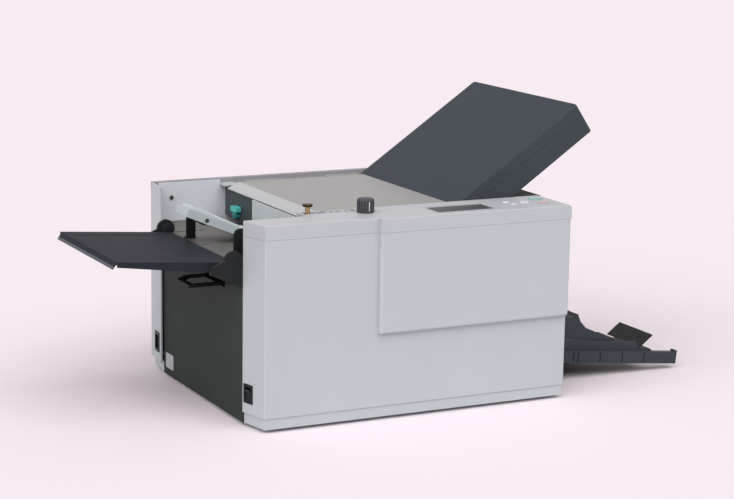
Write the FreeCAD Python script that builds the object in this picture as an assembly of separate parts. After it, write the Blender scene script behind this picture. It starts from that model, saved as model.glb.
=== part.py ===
import FreeCAD, Part
import math
import os

# Paper folding machine, millimetres, +Z up.
# Pieces are drawn in machine coordinates: x from the feed end to the exit end, y from the front
# face to the back, z up from the underside of the casing. Export moves them so that the origin
# is the centre of the whole machine's footprint, on the table under the rubber feet.

V = FreeCAD.Vector

# Casing
body_length = 620.0
body_depth = 510.0
body_height = 360.0
cover_wall = 3.0
band_height = 26.0
skirt_height = 20.0
skirt_inset = 2.0
front_strip = 63.0
front_slant = 14.0
rear_strip = 66.0
rear_slant = 6.0
rear_end_shift = -5.0
cover_return = 60.0
strip_overhang = 2.0
throat_length = 118.0
raised_length = 389.0
raised_bottom = 153.0
raised_step = 10.0
raised_edge_round = 4.0
shoulder_chamfer = 9.0
shelf_depth = 38.0
shelf_step_gap = 1.5
shelf_drop = 10.0
rim_depth = 7.0
sheet = 2.0
fit_gap = 0.3

# Base and feet
foot_height = 6.0
foot_radius = 16.0
foot_taper = 2.0
foot_inset_x = 50.0
foot_inset_y = 55.0
foot_hole_radius = 2.6
pan_end_inset = 3.5

# Side frames
frame_sheet = 3.0
front_frame_y = 98.0
rear_frame_inset = 18.0
frame_right_inset = 7.0
frame_drop = 0.5
rear_frame_drop = 0.5
throat_side_drop = 2.0
frame_front_left = 84.0
frame_rear_left = 10.0
tie_radius = 7.0
feed_tie_gap = 32.0
feed_tie_z = 60.0
middle_tie_inset = 270.0
middle_tie_z = 44.0

# End panels
end_panel_gap = 1.0
table_flange_height = 20.7
lever_slot_height = 13.0
lever_slot_margin = 5.0
exit_opening_top = 150.0
deck_plate_gap = 6.5
deck_drop = 0.5

# Top cover and its lip
cover_drop = 5.0
lip_length = 26.0
cover_reach = 16.5
cover_front_gap = 1.5
cover_shelf_gap = 6.0
cover_sheet = 4.0
cover_skirt = 9.0
lip_setback = 5.0
lip_drop = 10.0
hinge_setback = 4.5
hinge_radius = 2.6
hinge_outer = 4.0
hinge_bore_gap = 0.1
knuckle_length = 24.0

# Throat: table, wall behind it and the separator under the feed roller
table_drop = 77.0
table_left = -5.0
table_overlap = 16.0
table_end_gap = 2.0
wall_step = 11.0
throat_opening = 7.0
wall_split_inset = 155.0
pad_length = 18.0
pad_width = 34.0
pad_rise = 1.2
pad_depth = 5.0
wall_screw_inset = 70.0
wall_screw_drop = 12.0
wall_screw_radius = 2.0

# Feed tray
tray_left = -232.0
tray_left_rise = 19.0
tray_right = -10.0
tray_right_rise = 2.5
tray_front_gap = 13.0
tray_rear_inset = 133.0
tray_sheet = 3.0
tray_flange_left = 9.0
tray_flange_right = 21.0
tray_corner_notch = 7.0
tray_end_slope = 8.0
tray_end_drop = 13.0
pivot_x = -17.0
pivot_rise = 8.0
pin_radius = 4.0
ear_radius = 11.0
ear_thickness = 4.0
bracket_radius = 17.0
bracket_thickness = 6.0
bracket_gap = 0.4
bracket_tip_x = -60.0
bracket_tip_drop = 3.0
bracket_tip_height = 12.0
bracket_root_drop = 43.0
bracket_root_x = 60.0
bracket_tray_gap = 7.0

# Side guides
guide_left = -4.0
front_guide_right = 60.0
rear_guide_right = 14.0
guide_sheet = 3.0
guide_height = 57.0
front_guide_gap = 1.0
rear_guide_inset = 62.0
guide_foot = 10.0
guide_round = 11.0
guide_foot_height = 3.0

# Feed arm and its roller
arm_pivot_x = 97.0
arm_pivot_rise = 14.0
arm_guide_gap = 15.0
arm_width = 55.0
arm_tip_x = -28.0
arm_slope = 22.4
arm_low = -11.5
arm_high = 3.5
arm_boss_radius = 7.0
arm_neck = 10.0
arm_neck_depth = 5.5
arm_wall = 3.0
hood_start = 76.0
hood_length = 54.0
hood_inset = 4.0
hood_top = 10.0
hood_round = 6.0
cheek_radius = 7.0
shaft_radius = 5.0
feed_roller_reach = 94.1
feed_roller_offset = -5.25
feed_roller_radius = 10.0
feed_roller_width = 40.0
axle_radius = 4.0
running_gap = 0.05

# Teal lever on the throat wall
pressure_inset = 68.0
pressure_pivot_rise = 15.0
pressure_hub_radius = 6.0
pressure_knob_rise = 13.0
pressure_knob_width = 27.0
pressure_knob_height = 11.0
pressure_knob_depth = 12.0
pressure_stud_radius = 2.5

# Loop lever under the tray
loop_front = 150.0
loop_rear = 236.0
loop_reach = 65.0
loop_drop = 51.0
loop_thickness = 5.0
loop_band = 11.0
loop_chamfer = 26.0
loop_pivot_x = 15.0
loop_pin_radius = 3.0
loop_ear_width = 4.0

# Fold rollers
roller_radius = 19.0
roller_gap = 0.1
journal_radius = 6.0
bush_flange_sheet = 2.4
roller_end_gap = 0.6
roller_groove_count = 7
roller_groove_depth = 1.0
roller_groove_width = 6.0
bush_radius = 11.0
bush_flange = 13.0
nip_inset = 205.0
nip_drop = 60.0
second_roller_dip = 10.0
shaft_overhang = 2.0

# Gears, pulleys, belt and motor
gear_teeth = 24
gear_width = 7.0
gear_frame_gap = 3.0
tooth_height = 1.45
tooth_depth = 1.75
tooth_root_share = 0.35
tooth_tip_share = 0.12
pulley_width = 8.0
pulley_gear_gap = 4.0
large_pulley_radius = 24.0
small_pulley_radius = 10.0
belt_thickness = 1.6
belt_gap = 0.2
motor_offset = 85.0
motor_z = 118.0
motor_radius = 32.0
motor_pulley_gap = 6.0
motor_length = 56.0
motor_shaft_radius = 4.0
motor_foot_width = 70.0

# Upper fold plate
plate_angle = 34.4
plate_foot_reach = 18.0
plate_foot_drop = 8.0
plate_length = 314.5
plate_thickness = 64.7
plate_front_gap = 1.4
plate_rear_gap = 2.3
plate_wall = 3.0
plate_seam = 26.0
plate_seam_gap = 0.4
plate_top_round = 7.0
plate_mouth_top = 31.0
plate_mouth_bottom = 41.0
plate_deck = 42.0
stop_place = 210.0
stop_width = 14.0
stop_height = 6.0
stop_side_gap = 5.0
rest_place = 72.0
rest_width = 16.0
rest_depth = 12.0

# Lower fold plate
lower_mouth_reach = 11.0
lower_mouth_drop = 58.0
lower_angle = 40.0
lower_length = 230.0
lower_thickness = 24.0
lower_wall = 2.0
lower_stop_place = 120.0
lower_stop_width = 12.0

# Exit chute, exit arm and its roller
chute_top_reach = 63.0
chute_top_drop = 50.0
chute_end_inset = 35.0
chute_bottom_z = 100.0
exit_pivot_inset = 17.0
exit_pivot_z = 112.0
exit_hub_radius = 11.0
exit_arm_front = 119.0
exit_arm_width = 62.0
exit_arm_wall = 4.0
exit_roller_reach = 184.0
exit_roller_radius = 9.0
exit_roller_width = 20.0
exit_roller_insets = (8.0, 34.0)
exit_arm_lift = 5.0
exit_arm_clear = 12.0
exit_arm_root_clear = 19.0
exit_arm_nose = 26.0
# run and rise from the pivot of the points along its top
exit_arm_profile = ((113.0, 1.0), (121.0, 6.0), (127.0, -9.0), (139.0, -22.0))
exit_cheek_radius = 7.0
exit_roller_clear = 0.4

# Stacker tray outside the exit end
stacker_overlap = 32.0
stacker_reach = 324.0
stacker_front_gap = 0.4
stacker_rear_inset = 72.0
stacker_slope = 6.0
rail_bottom = 30.0
rail_height = 23.0
bed_rise = 5.0
cheek_rise = 18.0
cheek_reach = 230.0
cheek_ramp = 12.0
lip_height = 27.0
narrow_bed_rear = 195.0
wide_bed_reach = 192.0
bed_reach = 265.0
bed_ramp = 8.0
rail_width = 14.0
stacker_sheet = 3.0
stacker_lip = 6.0
rib_places = (18.0, 28.0, 79.0, 130.0, 181.0)
rib_width = 3.0
rib_depth = 2.0
stop_reach = 246.0
stop_foot_length = 50.0
stop_flap_length = 36.0
stop_flap_tilt = 37.0
stop_flap_front = 117.0
stop_flap_width = 115.0
stop_flap_sheet = 2.5
rail_reference = 65.0

# Control strip: display, keys, knob, thumb screw
display_length = 115.0
display_inset = 153.0
display_front = 5.0
display_rear = 60.0
board_drop = 15.0
board_sheet = 2.0
board_reach = 21.0
board_inset = 8.0
board_front = 8.0
board_rear = 86.0
board_post_radius = 4.0
supply_inset = 220.0
supply_length = 160.0
supply_front = 14.0
supply_width = 70.0
supply_z = 12.0
supply_top = 48.0
supply_leg_inset = 6.0
supply_leg_radius = 3.0
board_post_gaps = (28.0, 13.0, 8.0)
board_post_y = (13.0, 79.0)
key_gap = 0.35
key_rise = 1.6
key_travel = 1.5
key_flange = 1.5
# name: distance of the centre from the right end, centre y, length, width
keys = {
    "left_key": (103.0, 54.0, 14.0, 8.0),
    "middle_key": (100.0, 30.0, 12.0, 7.0),
    "right_key": (72.0, 40.0, 19.0, 11.0),
    "start_key": (34.0, 64.0, 28.0, 14.0),
    "stop_key": (40.0, 24.0, 22.0, 10.0),
}
knob_x = 233.0
knob_y = 59.0
knob_radius = 15.5
knob_height = 24.5
knob_round = 4.0
knob_lift = 1.0
knob_shaft_radius = 3.0
knob_flutes = 18
knob_flute_radius = 1.2
slot_gap = 6.0
slot_length = 104.0
slot_width = 17.0
slot_strip_gap = 4.0
thumb_offset = 9.0
thumb_setback = 8.0
thumb_head_radius = 9.0
thumb_neck_radius = 4.5
thumb_height = 17.0
rail_bar_drop = 4.0
rail_bar_thickness = 6.0
rail_leg_width = 10.0
rail_foot_height = 12.0
rail_leg_drop = 15.5
# places along the slot of what stands on the bar
rail_nut_places = (48.0, 62.0, 90.0)
rail_nut_radius = 4.0
rail_nut_height = 3.5
rail_block_place = 70.0
rail_block_length = 12.0
rail_block_width = 10.0
rail_block_height = 4.0
rail_post_place = 39.0
rail_post_radius = 2.0
rail_post_height = 7.0

# Switch and inlet on the end strips
switch_y = 46.0
switch_z = 56.0
switch_width = 22.0
switch_height = 30.0
switch_depth = 14.0
switch_proud = 1.5
switch_border = 3.2
rocker_gap = 0.4
rocker_end_gap = 1.8
rocker_tilt = 8.0
inlet_inset = 43.0
inlet_z = 56.0
inlet_width = 26.0
inlet_height = 38.0
inlet_depth = 22.0
inlet_border = 3.5
inlet_rim = 2.0

# Screw heads
frame_screw_radius = 4.0
frame_screw_height = 2.5
frame_screw_inset = 26.0
low_screw_z = 30.0
throat_screw_radius = 3.2
throat_screw_height = 2.2
throat_screw_inset = 26.0
throat_screw_drop = 29.0
panel_screw_radius = 3.5
panel_screw_inset = 20.0
panel_screw_rise = 12.0

# Values that follow from the sizes above
band_bottom = body_height - band_height
frame_inner_front = front_frame_y + frame_sheet
centre_distance = 2 * roller_radius + roller_gap
pitch_radius = centre_distance / 2
front_slant_angle = math.degrees(math.atan2(front_slant, front_strip))
rear_slant_angle = math.degrees(math.atan2(rear_slant, rear_strip))
rear_strip_end = body_depth - rear_strip - cover_wall * rear_slant / rear_strip
arm_sine = math.sin(math.radians(arm_slope))
arm_cosine = math.cos(math.radians(arm_slope))
rear_frame_y = body_depth - rear_frame_inset
strip_depth = front_frame_y + strip_overhang
shelf_front = body_depth - shelf_depth
cover_front = strip_depth + cover_front_gap
cover_rear = shelf_front - cover_shelf_gap
hinge_y = cover_rear + hinge_setback
tray_front = front_strip + tray_front_gap
tray_rear = body_depth - tray_rear_inset
rear_bracket_y = tray_rear + bracket_tray_gap
front_guide_face = front_frame_y - front_guide_gap
rear_guide_face = tray_rear - rear_guide_inset
arm_front = rear_guide_face - arm_width - arm_guide_gap
wall_split_y = rear_frame_y - wall_split_inset
wall_screw_y = rear_frame_y - wall_screw_inset
pressure_y = rear_frame_y - pressure_inset
plate_front = frame_inner_front + plate_front_gap
plate_rear = rear_frame_y - plate_rear_gap
stacker_front = frame_inner_front + stacker_front_gap
stacker_rear = rear_frame_y - stacker_rear_inset
inlet_y = body_depth - inlet_inset
gear_rear_face = front_frame_y - gear_frame_gap
pulley_rear_face = gear_rear_face - gear_width - pulley_gear_gap
motor_rear_face = pulley_rear_face - pulley_width - motor_pulley_gap
roller_front = frame_inner_front + bush_flange_sheet + roller_end_gap
roller_rear = rear_frame_y - bush_flange_sheet - roller_end_gap
slot_rear = strip_depth - slot_strip_gap
slot_front = slot_rear - slot_width
thumb_y = slot_front + thumb_setback
frame_top = band_bottom - frame_drop
rear_frame_top = body_height - shelf_drop - cover_wall - rear_frame_drop
throat_side_top = body_height - throat_side_drop
deck_top = body_height - deck_drop
cover_top = body_height - cover_drop
table_top = body_height - table_drop
end_panel_height = table_top - table_flange_height - fit_gap
wall_bottom = table_top + throat_opening
wall_top = cover_top - lip_drop - sheet
wall_screw_z = wall_top - wall_screw_drop
tray_left_top = table_top + tray_left_rise
tray_right_top = table_top + tray_right_rise
tray_tilt = math.atan2(tray_left_top - tray_right_top, tray_right - tray_left)
pivot_z = table_top + pivot_rise
bracket_tip_top = table_top - bracket_tip_drop
bracket_tip_bottom = bracket_tip_top - bracket_tip_height
bracket_root_z = table_top - bracket_root_drop
guide_top = table_top + guide_height
arm_pivot_z = table_top + arm_pivot_rise
feed_roller_x = arm_pivot_x - feed_roller_reach * arm_cosine + feed_roller_offset * arm_sine
feed_roller_z = arm_pivot_z + feed_roller_reach * arm_sine + feed_roller_offset * arm_cosine
pressure_pivot_z = table_top + pressure_pivot_rise
pressure_knob_z = pressure_pivot_z + pressure_knob_rise
loop_z = table_top - loop_drop
nip_z = body_height - nip_drop
plate_foot_z = body_height - plate_foot_drop
lower_mouth_z = nip_z - lower_mouth_drop
chute_top_z = nip_z - chute_top_drop
board_z = body_height - board_drop
rail_bar_top = body_height - rail_bar_drop
rail_leg_z = frame_top - rail_leg_drop
table_right = throat_length + table_overlap
throat_wall_x = table_right + table_end_gap
dark_wall_x = throat_wall_x + wall_step
lip_left = throat_wall_x + lip_setback
cover_left = lip_left + lip_length
slot_left = throat_length + slot_gap
slot_right = slot_left + slot_length
thumb_x = slot_left + thumb_offset
frame_right = body_length - frame_right_inset
raised_left = body_length - raised_length
nip_x = body_length - nip_inset
cover_right = nip_x + cover_reach
shelf_step_x = cover_right - shelf_step_gap
motor_x = nip_x - motor_offset
plate_foot_x = nip_x + plate_foot_reach
lower_mouth_x = nip_x + lower_mouth_reach
chute_top_x = nip_x + chute_top_reach
chute_bottom_x = body_length - chute_end_inset
exit_pivot_x = body_length - exit_pivot_inset
display_right = body_length - display_inset
display_left = display_right - display_length
board_left = knob_x - board_reach
board_right = body_length - board_inset
exit_roller_x = body_length + exit_roller_reach
stacker_left = body_length - stacker_overlap
stacker_right = body_length + stacker_reach
wide_bed_end_x = body_length + wide_bed_reach
bed_end_x = body_length + bed_reach
stop_x = body_length + stop_reach
cheek_end_x = body_length + cheek_reach
reference_x = body_length + rail_reference
board_post_x = (board_left + board_post_gaps[0], display_right + board_post_gaps[1], board_right - board_post_gaps[2])
tie_places = ((throat_length + feed_tie_gap, feed_tie_z), (body_length - middle_tie_inset, middle_tie_z))
key_places = {
    name: (body_length - inset, y, length, width)
    for name, (inset, y, length, width) in keys.items()}
deck_rise = deck_top + deck_plate_gap - plate_foot_z + plate_thickness / math.cos(math.radians(plate_angle))
deck_left = plate_foot_x + deck_rise / math.tan(math.radians(plate_angle))


def box(x0, x1, y0, y1, z0, z1):
    return Part.makeBox(x1 - x0, y1 - y0, z1 - z0, V(x0, y0, z0))


def rod_x(x0, x1, y, z, radius):
    return Part.makeCylinder(radius, x1 - x0, V(x0, y, z), V(1, 0, 0))


def rod_y(y0, y1, x, z, radius):
    return Part.makeCylinder(radius, y1 - y0, V(x, y0, z), V(0, 1, 0))


def rod_z(z0, z1, x, y, radius):
    return Part.makeCylinder(radius, z1 - z0, V(x, y, z0), V(0, 0, 1))


def prism_y(points, y0, y1):
    """Solid with the outline of (x, z) points between two depths."""
    corners = [V(x, y0, z) for x, z in points]
    return Part.Face(Part.makePolygon(corners + corners[:1])).extrude(V(0, y1 - y0, 0))


def prism_z(points, z0, z1):
    """Solid with the outline of (x, y) points between two heights."""
    corners = [V(x, y, z0) for x, y in points]
    return Part.Face(Part.makePolygon(corners + corners[:1])).extrude(V(0, 0, z1 - z0))


def fused(shapes):
    whole = shapes[0]
    for shape in shapes[1:]:
        whole = whole.fuse(shape)
    return whole.removeSplitter()


def without(shape, cutters):
    for cutter in cutters:
        shape = shape.cut(cutter)
    return shape


def rounded(shape, radius, wanted):
    """Fillet the edges for which wanted(centre, direction) is true."""
    edges = []
    for edge in shape.Edges:
        if edge.Curve.TypeId != "Part::GeomLine":
            continue
        direction = edge.tangentAt(edge.FirstParameter)
        if wanted(edge.CenterOfMass, direction):
            edges.append(edge)
    return shape.makeFillet(radius, edges) if edges else shape


def offset_path(points, distance):
    """The open path moved sideways, to its left, with mitred corners."""
    normals = []
    for (x0, y0), (x1, y1) in zip(points, points[1:]):
        length = math.hypot(x1 - x0, y1 - y0)
        normals.append((-(y1 - y0) / length, (x1 - x0) / length))
    moved = []
    for index, (x, y) in enumerate(points):
        before = normals[max(index - 1, 0)]
        after = normals[min(index, len(normals) - 1)]
        scale = distance / (1 + before[0] * after[0] + before[1] * after[1])
        moved.append((x + (before[0] + after[0]) * scale, y + (before[1] + after[1]) * scale))
    return moved


def wall(points, thickness, z0, z1):
    """A standing wall whose outer face follows the open path."""
    return prism_z(points + offset_path(points, thickness)[::-1], z0, z1)


def plate_frame(shape, x, z, angle):
    """Turn a shape drawn along +x at the origin so that +x climbs at the angle, from (x, z)."""
    shape.rotate(V(0, 0, 0), V(0, -1, 0), angle)
    shape.translate(V(x, 0, z))
    return shape


def along(x, z, angle, distance, height=0.0):
    """Place at a distance up a slope and a height above it."""
    turn = math.radians(angle)
    run = distance * math.cos(turn) - height * math.sin(turn)
    rise = distance * math.sin(turn) + height * math.cos(turn)
    return x + run, z + rise


def roller_places():
    """Axis places of the four fold rollers, worked out from the first nip."""
    lean = math.radians(plate_angle)
    first = (nip_x - math.sin(lean) * pitch_radius, nip_z + math.cos(lean) * pitch_radius)
    second = (nip_x + math.sin(lean) * pitch_radius, nip_z - math.cos(lean) * pitch_radius)
    dip = math.radians(second_roller_dip)
    third = (second[0] + math.cos(dip) * centre_distance, second[1] - math.sin(dip) * centre_distance)
    fourth = (third[0] - math.sin(dip) * centre_distance, third[1] - math.cos(dip) * centre_distance)
    return [first, second, third, fourth]


def closed_offset(points, distance):
    """A counterclockwise outline moved inwards by a distance."""
    return offset_path(points[-1:] + points + points[:1], distance)[1:-1]


def oval(x, y, length, width, z0, z1):
    """Upright pill shape, its length along x."""
    reach = (length - width) / 2
    middle = box(x - reach, x + reach, y - width / 2, y + width / 2, z0, z1)
    ends = [rod_z(z0, z1, x + side * reach, y, width / 2) for side in (-1, 1)]
    return fused([middle] + ends)


def on_front_strip(shape, y, z):
    """Move a shape drawn at the origin, facing -x, onto the slanted front end strip."""
    shape.rotate(V(0, 0, 0), V(0, 0, 1), front_slant_angle)
    shape.translate(V(front_slant * (front_strip - y) / front_strip, y, z))
    return shape


def on_rear_strip(shape, y, z):
    """Move a shape drawn at the origin, facing -x, onto the slanted rear end strip."""
    shape.rotate(V(0, 0, 0), V(0, 0, 1), -rear_slant_angle)
    shape.translate(V(rear_end_shift + rear_slant * (y - body_depth + rear_strip) / rear_strip, y, z))
    return shape


def base_pan():
    outline = [
        (front_slant + skirt_inset, skirt_inset),
        (body_length - skirt_inset, skirt_inset),
        (body_length - skirt_inset, body_depth - skirt_inset),
        (rear_slant + skirt_inset, body_depth - skirt_inset),
        (pan_end_inset, body_depth - rear_strip),
        (pan_end_inset, front_strip),
    ]
    outer = prism_z(outline, 0, skirt_height - fit_gap)
    inner = prism_z(closed_offset(outline, sheet), sheet, skirt_height + sheet)
    return outer.cut(inner)


def rubber_feet():
    feet = []
    for x in (foot_inset_x, body_length - foot_inset_x):
        for y in (foot_inset_y, body_depth - foot_inset_y):
            foot = Part.makeCone(foot_radius - foot_taper, foot_radius, foot_height, V(x, y, -foot_height))
            feet.append(foot.cut(rod_z(-foot_height - 1, -foot_height / 2, x, y, foot_hole_radius)))
    return feet


def side_frame(y, top_line):
    """Sheet frame below a line of (x, z) points, with a bore for each bush and pivot."""
    left = top_line[-1][0]
    outline = [
        (throat_length, sheet),
        (frame_right, sheet),
        *top_line,
        (left, table_top + fit_gap),
        (throat_length, table_top + fit_gap),
    ]
    plate = prism_y(outline, y, y + frame_sheet)
    bores = [rod_y(y - 1, y + frame_sheet + 1, x, z, bush_radius) for x, z in roller_places()]
    bores.append(rod_y(y - 1, y + frame_sheet + 1, arm_pivot_x, arm_pivot_z, shaft_radius + running_gap))
    bores.append(rod_y(y - 1, y + frame_sheet + 1, exit_pivot_x, exit_pivot_z, shaft_radius + running_gap))
    return without(plate, bores)


def stacker_line(x):
    """Height of the underside of the stacker rail."""
    return rail_bottom - (x - reference_x) * math.tan(math.radians(stacker_slope))


def tie_bars():
    bars = [rod_y(frame_inner_front, rear_frame_y, x, z, tie_radius) for x, z in tie_places]
    under = stacker_line(stacker_left + tie_radius) - tie_radius - fit_gap
    bars.append(rod_y(frame_inner_front, rear_frame_y, stacker_left + tie_radius, under - fit_gap, tie_radius))
    rest_top = -plate_thickness - fit_gap
    rest = box(rest_place, rest_place + rest_width, frame_inner_front, rear_frame_y, rest_top - rest_depth, rest_top)
    bars.append(plate_frame(rest, plate_foot_x, plate_foot_z, plate_angle))
    return bars


def front_cover():
    path = [
        (throat_length, front_strip),
        (0, front_strip),
        (front_slant, 0),
        (body_length, 0),
        (body_length, cover_return),
    ]
    shell = wall(path, cover_wall, skirt_height, band_bottom - fit_gap)
    shell = rounded(shell, 2.5, lambda c, d: abs(d.z) > 0.9 and abs(c.y) < 0.1)
    hole = box(-cover_wall, switch_depth, -switch_width / 2, switch_width / 2, -switch_height / 2, switch_height / 2)
    return shell.cut(on_front_strip(hole, switch_y, switch_z))


def door_panel():
    right = body_length - 1
    top = band_bottom - fit_gap
    outer = box(raised_left, right, -raised_step, 0, raised_bottom, top)
    outer = rounded(outer, raised_edge_round, lambda c, d: (
        abs(c.y + raised_step) < 0.1 and c.z < top - 1 or abs(d.y) > 0.9 and c.z < raised_bottom + 1))
    hollow = box(
        raised_left + cover_wall, right - cover_wall, -raised_step + cover_wall, 1,
        raised_bottom + cover_wall, top - cover_wall)
    return outer.cut(hollow)


def control_strip():
    right = body_length
    outline = [
        (0, front_strip),
        (front_slant, 0),
        (raised_left, 0),
        (raised_left, -raised_step),
        (right, -raised_step),
        (right, strip_depth),
        (throat_length, strip_depth),
        (throat_length, front_strip),
    ]
    outer = prism_z(outline, band_bottom, body_height)
    outer = rounded(outer, shoulder_chamfer, lambda c, d: (
        abs(c.x - right) < 0.1 and abs(c.z - body_height) < 0.1))
    outer = rounded(outer, 2.0, lambda c, d: (
        abs(c.z - body_height) < 0.1 and c.y < front_strip - 1 and abs(d.x) > 0.1 and c.x < right - 1))
    ceiling = body_height - cover_wall
    inner = prism_z(closed_offset(outline, cover_wall), band_bottom - 1, ceiling)
    inner = rounded(inner, shoulder_chamfer - cover_wall, lambda c, d: (
        abs(c.x - right + cover_wall) < 0.1 and abs(c.z - ceiling) < 0.1))
    shell = outer.cut(inner)
    board_top = board_z + board_sheet
    posts = [rod_z(board_top, ceiling + 1, x, y, board_post_radius) for x in board_post_x for y in board_post_y]
    shell = fused([shell] + posts)
    cutters = [
        box(display_left, display_right, display_front, display_rear, ceiling - 1, body_height + 1),
        box(slot_left, slot_right, slot_front, slot_rear, ceiling - 1, body_height + 1),
        rod_z(ceiling - 1, body_height + 1, knob_x, knob_y, knob_shaft_radius + 0.2),
    ]
    for x, y, length, width in key_places.values():
        cutters.append(oval(x, y, length + 2 * key_gap, width + 2 * key_gap, ceiling - 1, body_height + 1))
    return without(shell, cutters)


def rear_cover():
    shelf_top = body_height - shelf_drop
    path = [
        (body_length, body_depth - cover_return),
        (body_length, body_depth),
        (rear_slant + rear_end_shift, body_depth),
        (rear_end_shift, body_depth - rear_strip),
    ]
    shell = wall(path, cover_wall, skirt_height, shelf_top)
    shell = rounded(shell, 2.5, lambda c, d: abs(d.z) > 0.9 and c.x > body_length - 1 and c.y > body_depth - 1)
    half_w = inlet_width / 2 - inlet_rim
    half_h = inlet_height / 2 - inlet_rim
    hole = box(-cover_wall, inlet_depth, -half_w, half_w, -half_h, half_h)
    shell = shell.cut(on_rear_strip(hole, inlet_y, inlet_z))
    strip = wall(path[2:], cover_wall, shelf_top - 1, body_height - 2)
    strip = strip.cut(box(-1, body_length, body_depth - rim_depth, body_depth + 1, shelf_top, body_height + 1))
    shelf = box(rear_slant + rear_end_shift + cover_wall, body_length - cover_wall / 2, shelf_front, body_depth - cover_wall / 2,
                shelf_top - cover_wall, shelf_top)
    gap = box(shelf_step_x, body_length - cover_wall, shelf_front - 1, rear_frame_y + frame_sheet,
              shelf_top - cover_wall - 1, shelf_top + 1)
    throat_gap = box(rear_end_shift, throat_wall_x + fit_gap, shelf_front - 1, rear_frame_y + frame_sheet + fit_gap,
                     shelf_top - cover_wall - 1, shelf_top + 1)
    knuckle_room = [rod_x(x0 - fit_gap, x1 + fit_gap, hinge_y, hinge_z(), hinge_outer + fit_gap)
                    for x0, x1 in hinge_spans(0)]
    shelf = without(shelf, [gap, throat_gap] + knuckle_room)
    return fused([shell, strip, shelf] + hinge_barrels(shelf_front, shelf_top - cover_wall, cover_wall, 1))


def hinge_z():
    return cover_top - cover_sheet / 2


def hinge_spans(offset):
    """Spans along x of the hinge knuckles; offset 0 on the cover, 1 on the shelf."""
    spans = []
    for start in (cover_left + 10, cover_right - 10 - 3 * knuckle_length):
        for index in range(3):
            if index % 2 == offset:
                spans.append((start + index * knuckle_length, start + (index + 1) * knuckle_length - fit_gap))
    return spans


def hinge_barrels(edge_y, leaf_bottom, leaf_sheet, offset):
    """Knuckles around the cover's hinge axis, joined to the edge at a depth by a leaf."""
    knuckles = []
    for x0, x1 in hinge_spans(offset):
        leaf = box(x0, x1, min(edge_y, hinge_y) - fit_gap, max(edge_y, hinge_y) + fit_gap,
                   leaf_bottom, leaf_bottom + leaf_sheet)
        knuckle = rod_x(x0, x1, hinge_y, hinge_z(), hinge_outer).fuse(leaf)
        if offset == 1:
            knuckle = knuckle.cut(rod_x(x0 - 1, x1 + 1, hinge_y, hinge_z(), hinge_radius + hinge_bore_gap))
        knuckles.append(knuckle)
    return knuckles


def rear_cover_rim():
    rim = box(rear_slant + rear_end_shift, body_length, body_depth - rim_depth, body_depth, body_height - shelf_drop, body_height)
    return rounded(rim, 2.5, lambda c, d: abs(d.x) > 0.9 and c.z > body_height - 1)


def left_end_panel():
    rear = rear_strip_end - fit_gap
    left = end_panel_gap
    right = left + sheet
    plate = box(left, right, front_strip + fit_gap, rear, 0, end_panel_height)
    slot = box(left - 1, right + 1, loop_front - lever_slot_margin, loop_rear + lever_slot_margin,
               loop_z - lever_slot_height / 2, loop_z + lever_slot_height / 2)
    notches = []
    for y in bracket_fronts():
        notches.append(box(left - 1, right + 1, y - bracket_gap, y + bracket_thickness + bracket_gap,
                           bracket_root_z - bracket_gap, end_panel_height + 1))
    ears = []
    for y in (loop_front - lever_slot_margin - loop_ear_width, loop_rear + lever_slot_margin):
        ear = box(right - 0.5, loop_pivot_x + 2 * loop_pin_radius, y, y + loop_ear_width,
                  loop_z - 2.5 * loop_pin_radius, loop_z + 2.5 * loop_pin_radius)
        ears.append(ear.cut(rod_y(y - 1, y + loop_ear_width + 1, loop_pivot_x, loop_z, loop_pin_radius + running_gap)))
    return fused([without(plate, [slot] + notches)] + ears)


def right_end_panel():
    x0 = body_length - cover_wall
    x1 = x0 + sheet
    front = cover_return + fit_gap
    rear = body_depth - cover_return - fit_gap
    deck_front = frame_inner_front + fit_gap
    lower = box(x0, x1, front, rear, exit_opening_top, band_bottom - fit_gap)
    upper = box(x0, x1, deck_front, rear, band_bottom - 2, deck_top)
    deck = box(deck_left, x0 - fit_gap, deck_front, rear_frame_y - fit_gap, deck_top - sheet, deck_top)
    joint = box(x0 - 1, x1, deck_front, rear, deck_top - sheet, deck_top)
    return fused([lower, upper, deck, joint])


def throat_wall():
    front = frame_inner_front + fit_gap
    rear = rear_frame_y - fit_gap
    light = box(throat_wall_x, throat_wall_x + sheet, front, wall_split_y, wall_bottom, wall_top)
    turn = box(throat_wall_x, dark_wall_x, wall_split_y - sheet, wall_split_y, wall_bottom, wall_top)
    dark = box(dark_wall_x, dark_wall_x + sheet, wall_split_y - sheet, rear, wall_bottom, wall_top)
    dark = dark.cut(rod_x(dark_wall_x - 1, dark_wall_x + sheet + 1, wall_screw_y, wall_screw_z, wall_screw_radius))
    stud = rod_x(dark_wall_x - pressure_knob_depth, dark_wall_x, pressure_y, pressure_pivot_z, pressure_stud_radius)
    return [light.fuse(turn).removeSplitter(), dark.fuse(stud).removeSplitter()]


def pad_box(grow, z0, z1):
    middle = arm_front + arm_width / 2
    return box(feed_roller_x - pad_length / 2 - grow, feed_roller_x + pad_length / 2 + grow,
               middle - pad_width / 2 - grow, middle + pad_width / 2 + grow, z0, z1)


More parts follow.
